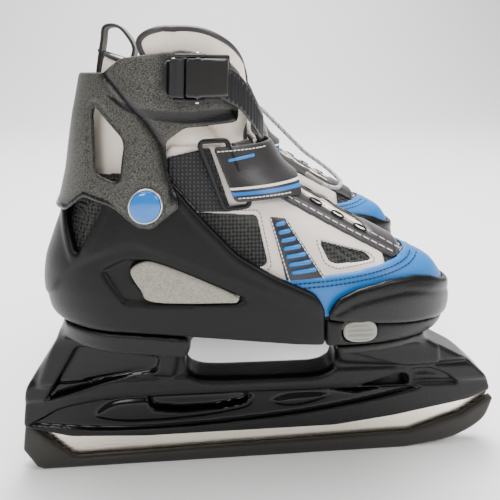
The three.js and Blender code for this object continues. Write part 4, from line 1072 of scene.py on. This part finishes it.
# ---------------------------------------------------------------- cuff
# A hinged collar in charcoal speckled plastic. A wide swelling crosses it under the rim, a rolled groove follows its
# front edge down to the hinge, and a window on each side shows the liner. The groove, the window's rim, the lower
# edges and the band under the swelling get painted shade: darker, and glossier.
CUFF_SATIN = 0.42
charcoal, tree, shader = finish_of("polyamide_charcoal", "#2A2927", CUFF_SATIN, Specular_IOR_Level=0.35)
speckle = grained(tree, shader, 0.75, 0.16, 0.12, "#1A1A18", "#56544E")
# painted shade: this mark darkens the cuff towards near black where shade falls, and also makes it glossier there
painted_shade_and_gloss = marked(tree, "painted_shade_and_gloss")
shade = add(tree, "ShaderNodeMix", {"data_type": "RGBA", 7: linear("#0C0C0C")}, {0: painted_shade_and_gloss})
tree.links.new(speckle.outputs["Color"], shade.inputs[6])
tree.links.new(shade.outputs[2], shader.inputs["Base Color"])
sheen = add(tree, "ShaderNodeMapRange", {"To Min": CUFF_SATIN, "To Max": 0.12}, {"Value": painted_shade_and_gloss})
tree.links.new(sheen.outputs[0], shader.inputs["Roughness"])


CUFF_IN = 7.6
CUFF_WALL = 3.4


def cuff_inside(z):
    """How far the cuff's inner face stands off the form, at the heel and at the sides."""
    t = np.clip((z - 170) / 35, 0, 1)
    return CUFF_IN + 2.5 * t, CUFF_IN - 3.3 * t


CUFF = [(-140, 147), (-104, 151), (-93, 160), (-77, 156), (-62, 144), (-54, 143.3), (-39.5, 154.5), (-41, 162),
        (-46, 174), (-48, 190), (-38, 197), (-7, 199), (-5, 228), (-15, 238), (-40, 242), (-75, 237), (-86, 229),
        (-140, 229)]
WINDOW = rounded([(-91, 210), (-71.5, 191), (-73, 168.5), (-86.5, 173)], 4)
FRONT_EDGE = flowing([(-85, 228), (-72, 214), (-60, 202), (-51, 188), (-47.5, 174), (-43, 164)])
KITE = [(-78, 157), (-62, 144), (-54, 143.3), (-39.5, 154.5), (-42, 163)]
block = Block((-126, -50, 136), (0, 50, 248), 1.0)
x, y, z = block.x, block.y, block.z
heel_off, side_off = cuff_inside(z)
off = block.stand_off(heel=heel_off - side_off) - side_off
edge = within(rounded(CUFF, 2.2), x, z)
hole = within(WINDOW, x, z)
groove = to_line(FRONT_EDGE, x, z)
pod = np.sqrt(((x + 38) / 44) ** 2 + ((z - 216) / 15.5) ** 2) - 1
flank = within([(-90, 232), (-50, 202), (-30, 160), (-56, 130), (-90, 150)], x, z)
relief = 1.3 * sunk(pod * 12, 6) - 1.5 * np.exp(-(groove / 2.4) ** 2) * sunk(flank - 8, 4)
rim_roll = to_line([(-140, 148), (-104, 152), (-93, 161), (-77, 156)], x, z)
relief = relief + 0.9 * np.exp(-(rim_roll / 2.0) ** 2) - 0.9 * np.exp(-((hole - 3.2) / 1.2) ** 2) * (hole > 0)
cuff = common(off - CUFF_WALL - relief, -off, 1.0)
cuff = cut(common(cuff, edge, 2.4), hole, 2.0)
shank = np.sqrt((x - PIVOT[0]) ** 2 + (z - PIVOT[2]) ** 2)
cuff = common(cuff, 5.4 - shank, 0.5)
shape = skin(cuff, block)
px, pz = shape[0][:, 0], shape[0][:, 2]
UNDERSIDE = flowing([(-82, 216), (-72, 208), (-56, 202.5), (-38, 200), (-16, 199), (-6, 199), (-6, 205),
                     (-18, 207.5), (-38, 206.5), (-58, 208), (-72, 212)], closed=True)
# painted shade mask: darkest along the front groove, around the window, along the kite and rim edges and in the band
# under the swelling
dark = np.maximum.reduce([
    np.exp(-(to_line(FRONT_EDGE, px, pz) / 2.6) ** 2 * 0.8),
    np.exp(-(np.maximum(within(WINDOW, px, pz), 0) / 1.6) ** 2),
    sunk(to_line(KITE, px, pz) - 2.4, 0.8),
    sunk(to_line([(-140, 148), (-104, 152), (-93, 160.5), (-80, 157.5)], px, pz) - 3.0, 0.8),
    sunk(within(UNDERSIDE, px, pz) - 0.6, 1.2),
    np.exp(-(to_line([(-44, 158), (-46, 172), (-47.5, 188), (-38, 196.5), (-20, 198)], px, pz) / 1.6) ** 2)])
both("cuff_moulding", "cuff", charcoal, shape, ["cuff"], marks={"painted_shade_and_gloss": dark})


# ---------------------------------------------------------------- hinge caps
# Blue domed caps with a bright ring, pressed through cuff and shell on both sides.
cap_blue, _, _ = finish_of("glossy_abs_blue", "#006CC0", 0.12, Coat_Weight=0.5)
ring_silver, _, _ = finish_of("chromed_abs", "#C9C9C4", 0.2, Metallic=0.9)
CAP_SIDES = 40


def turned_part(profile, sides=CAP_SIDES):
    """A body of revolution about the hinge, from radii and distances out from the middle of the skate."""
    verts, faces = [], []
    angles = [2 * math.pi * k / sides for k in range(sides)]
    for r, h in profile:
        verts += [(PIVOT[0] + r * math.cos(a), -h, PIVOT[2] + r * math.sin(a)) for a in angles]
    for i in range(len(profile) - 1):
        for k in range(sides):
            m = (k + 1) % sides
            faces.append((i * sides + k, i * sides + m, (i + 1) * sides + m, (i + 1) * sides + k))
    faces.append(tuple(range(sides))[::-1])
    faces.append(tuple((len(profile) - 1) * sides + k for k in range(sides)))
    return np.array(verts), faces


cuff_face = float(side_y(PIVOT[0], PIVOT[2], CUFF_IN + CUFF_WALL)[0]) + 0.6
shank_in = float(side_y(PIVOT[0], PIVOT[2], SHELL_IN)[0]) + 0.3
dome = [(4.8, shank_in), (4.8, cuff_face), (8.0, cuff_face), (8.2, cuff_face + 1.6)]
dome += [(8.2 * math.cos(a), cuff_face + 1.7 + 2.1 * math.sin(a)) for a in np.linspace(0.1, 1.5, 8)]
bezel = [(8.3, cuff_face - 0.3), (9.2, cuff_face - 0.3), (9.4, cuff_face + 0.6), (9.0, cuff_face + 1.3),
         (8.3, cuff_face + 1.4)]
for where, flip in (("outer", 1), ("inner", -1)):
    for kind, profile, material in (("dome", dome, cap_blue), ("bezel", bezel, ring_silver)):
        verts, faces = turned_part(profile)
        if kind == "bezel":
            last, following = (len(bezel) - 1) * CAP_SIDES, [*range(1, CAP_SIDES), 0]
            faces = faces[:-2] + [(last + k, last + m, m, k) for k, m in enumerate(following)]
        verts = verts * (1, flip, 1)
        faces = [f[::-1] for f in faces] if flip < 0 else faces
        both(f"{kind}_{where}", "boot", material, (verts, faces),
             [f"pivot_cap_{where}"] if kind == "dome" else ())


# ---------------------------------------------------------------- ratchet buckle
# A moulded base on the cuff's wing carries a smooth curved lever on a steel pin, and a sprung catch
# behind it that holds the ladder strap.
smooth_black, _, _ = finish_of("acetal_black", "#1A1918", 0.26)
base_black, tree, shader = finish_of("acetal_base", "#101011", 0.4)
grained(tree, shader, 1.0, 0.08)
pin_steel, _, _ = finish_of("bright_steel", "#C8C6C0", 0.22, Metallic=1.0)
BUCKLE_Z = 225.5
LEVER_HALF = 10.9
CUFF_TOP_OFF = 5.6
AXLE = (-31, -45.055)
PAWL = (-39.5, -46.733)
block = Block((-50, -52, 208), (-4, -30, 243), 0.55)
x, y, z = block.x, block.y, block.z
across = np.abs(z - BUCKLE_Z)
beside = across - LEVER_HALF
off = block.stand_off(level=BUCKLE_Z) - CUFF_TOP_OFF
base = common(common(off - 5.7, 3.7 - off, 0.5), common(np.abs(x + 28) - 16, across - 13.5, 2.0), 0.6)
rail_ends = common(np.abs(x + 35.5) - 8.5, np.abs(across - 12.4) - 1.1, 1.0)
rails = common(common(off - 11.8, 3.9 - off, 0.8), rail_ends, 1.2)
both("buckle_frame", "cuff", base_black, skin(joined(base, rails, 0.6), block), ["buckle_base"])
lever = common(common(off - 12.8, 8.7 - off, 2.6), common(beside, np.maximum(x + 13.5, -31 - x), 1.2), 1.4)
tail = common(common(off - 12.8, 11.2 - off, 0.8), common(beside, np.abs(x + 33) - 4.2, 2.0), 0.8)
lever = joined(lever, tail, 1.2)
knuckle = np.maximum(np.hypot(x - AXLE[0], y - AXLE[1]) - 2.3, beside)
both("ratchet_lever", "lever", smooth_black, skin(joined(lever, knuckle, 1.0), block), ["buckle_lever"])
catch = common(common(off - 11.6, 9.6 - off, 0.6), common(beside, np.maximum(x + 39.5, -46 - x), 1.0), 0.8)
barrel = np.maximum(np.hypot(x - PAWL[0], y - PAWL[1]) - 1.9, beside)
both("ratchet_catch", "pawl", base_black, skin(joined(catch, barrel, 0.8), block), ["buckle_pawl"])
pin = tube([(*AXLE, h) for h in (BUCKLE_Z - 13.9, BUCKLE_Z, BUCKLE_Z + 13.9)], 1.25, sides=16)[:2]
both("lever_pin", "cuff", pin_steel, pin, ["buckle_axle"])
coil = [(AXLE[0] - 4.2, AXLE[1] - 0.4, 236.4), (AXLE[0] - 8.5, AXLE[1] - 1.2, 236.6), (-45.5, AXLE[1] - 0.4, 236.2)]
both("catch_spring", "cuff", pin_steel, tube(flowing(coil), 0.45, sides=8)[:2])


# ---------------------------------------------------------------- ladder strap
# A ribbed polyurethane strap that runs from the buckle around the front of the leg, with fine upright
# teeth across its face and a plain edge on each side.
ladder_black, _, _ = finish_of("cast_polyurethane", "#151518", 0.3)
STRAP_HALF = 10.2
STRAP_BEND = 46
TOOTH_PITCH = 3.1
block = Block((-52, -50, 172), (33, 10, 240), 0.6)
x, y, z = block.x, block.y, block.z
off = block.stand_off(level=BUCKLE_Z, front=5.0) - CUFF_TOP_OFF
run = [(-50, 225.5), (-20, 225), (-6, 217), (2, 206), (10, 192), (30, 182)]
lower_edge, upper_edge = ([(a, b + side * STRAP_HALF) for a, b in run] for side in (-1, 1))
outline = within(rounded([*lower_edge, *upper_edge[::-1]], 4), x, z)
along_strap = STRAP_BEND * np.arctan2(x + 42, -y)
teeth = 0.6 * np.cos(along_strap * 2 * math.pi / TOOTH_PITCH) * sunk(outline + 1.4, 0.8)
strap = common(common(off - 7.9 - teeth, 6.0 - off, 0.5), outline, 0.9)
both("ratchet_strap", "cuff", ladder_black, skin(strap, block, relax=1), ["ladder_strap"])
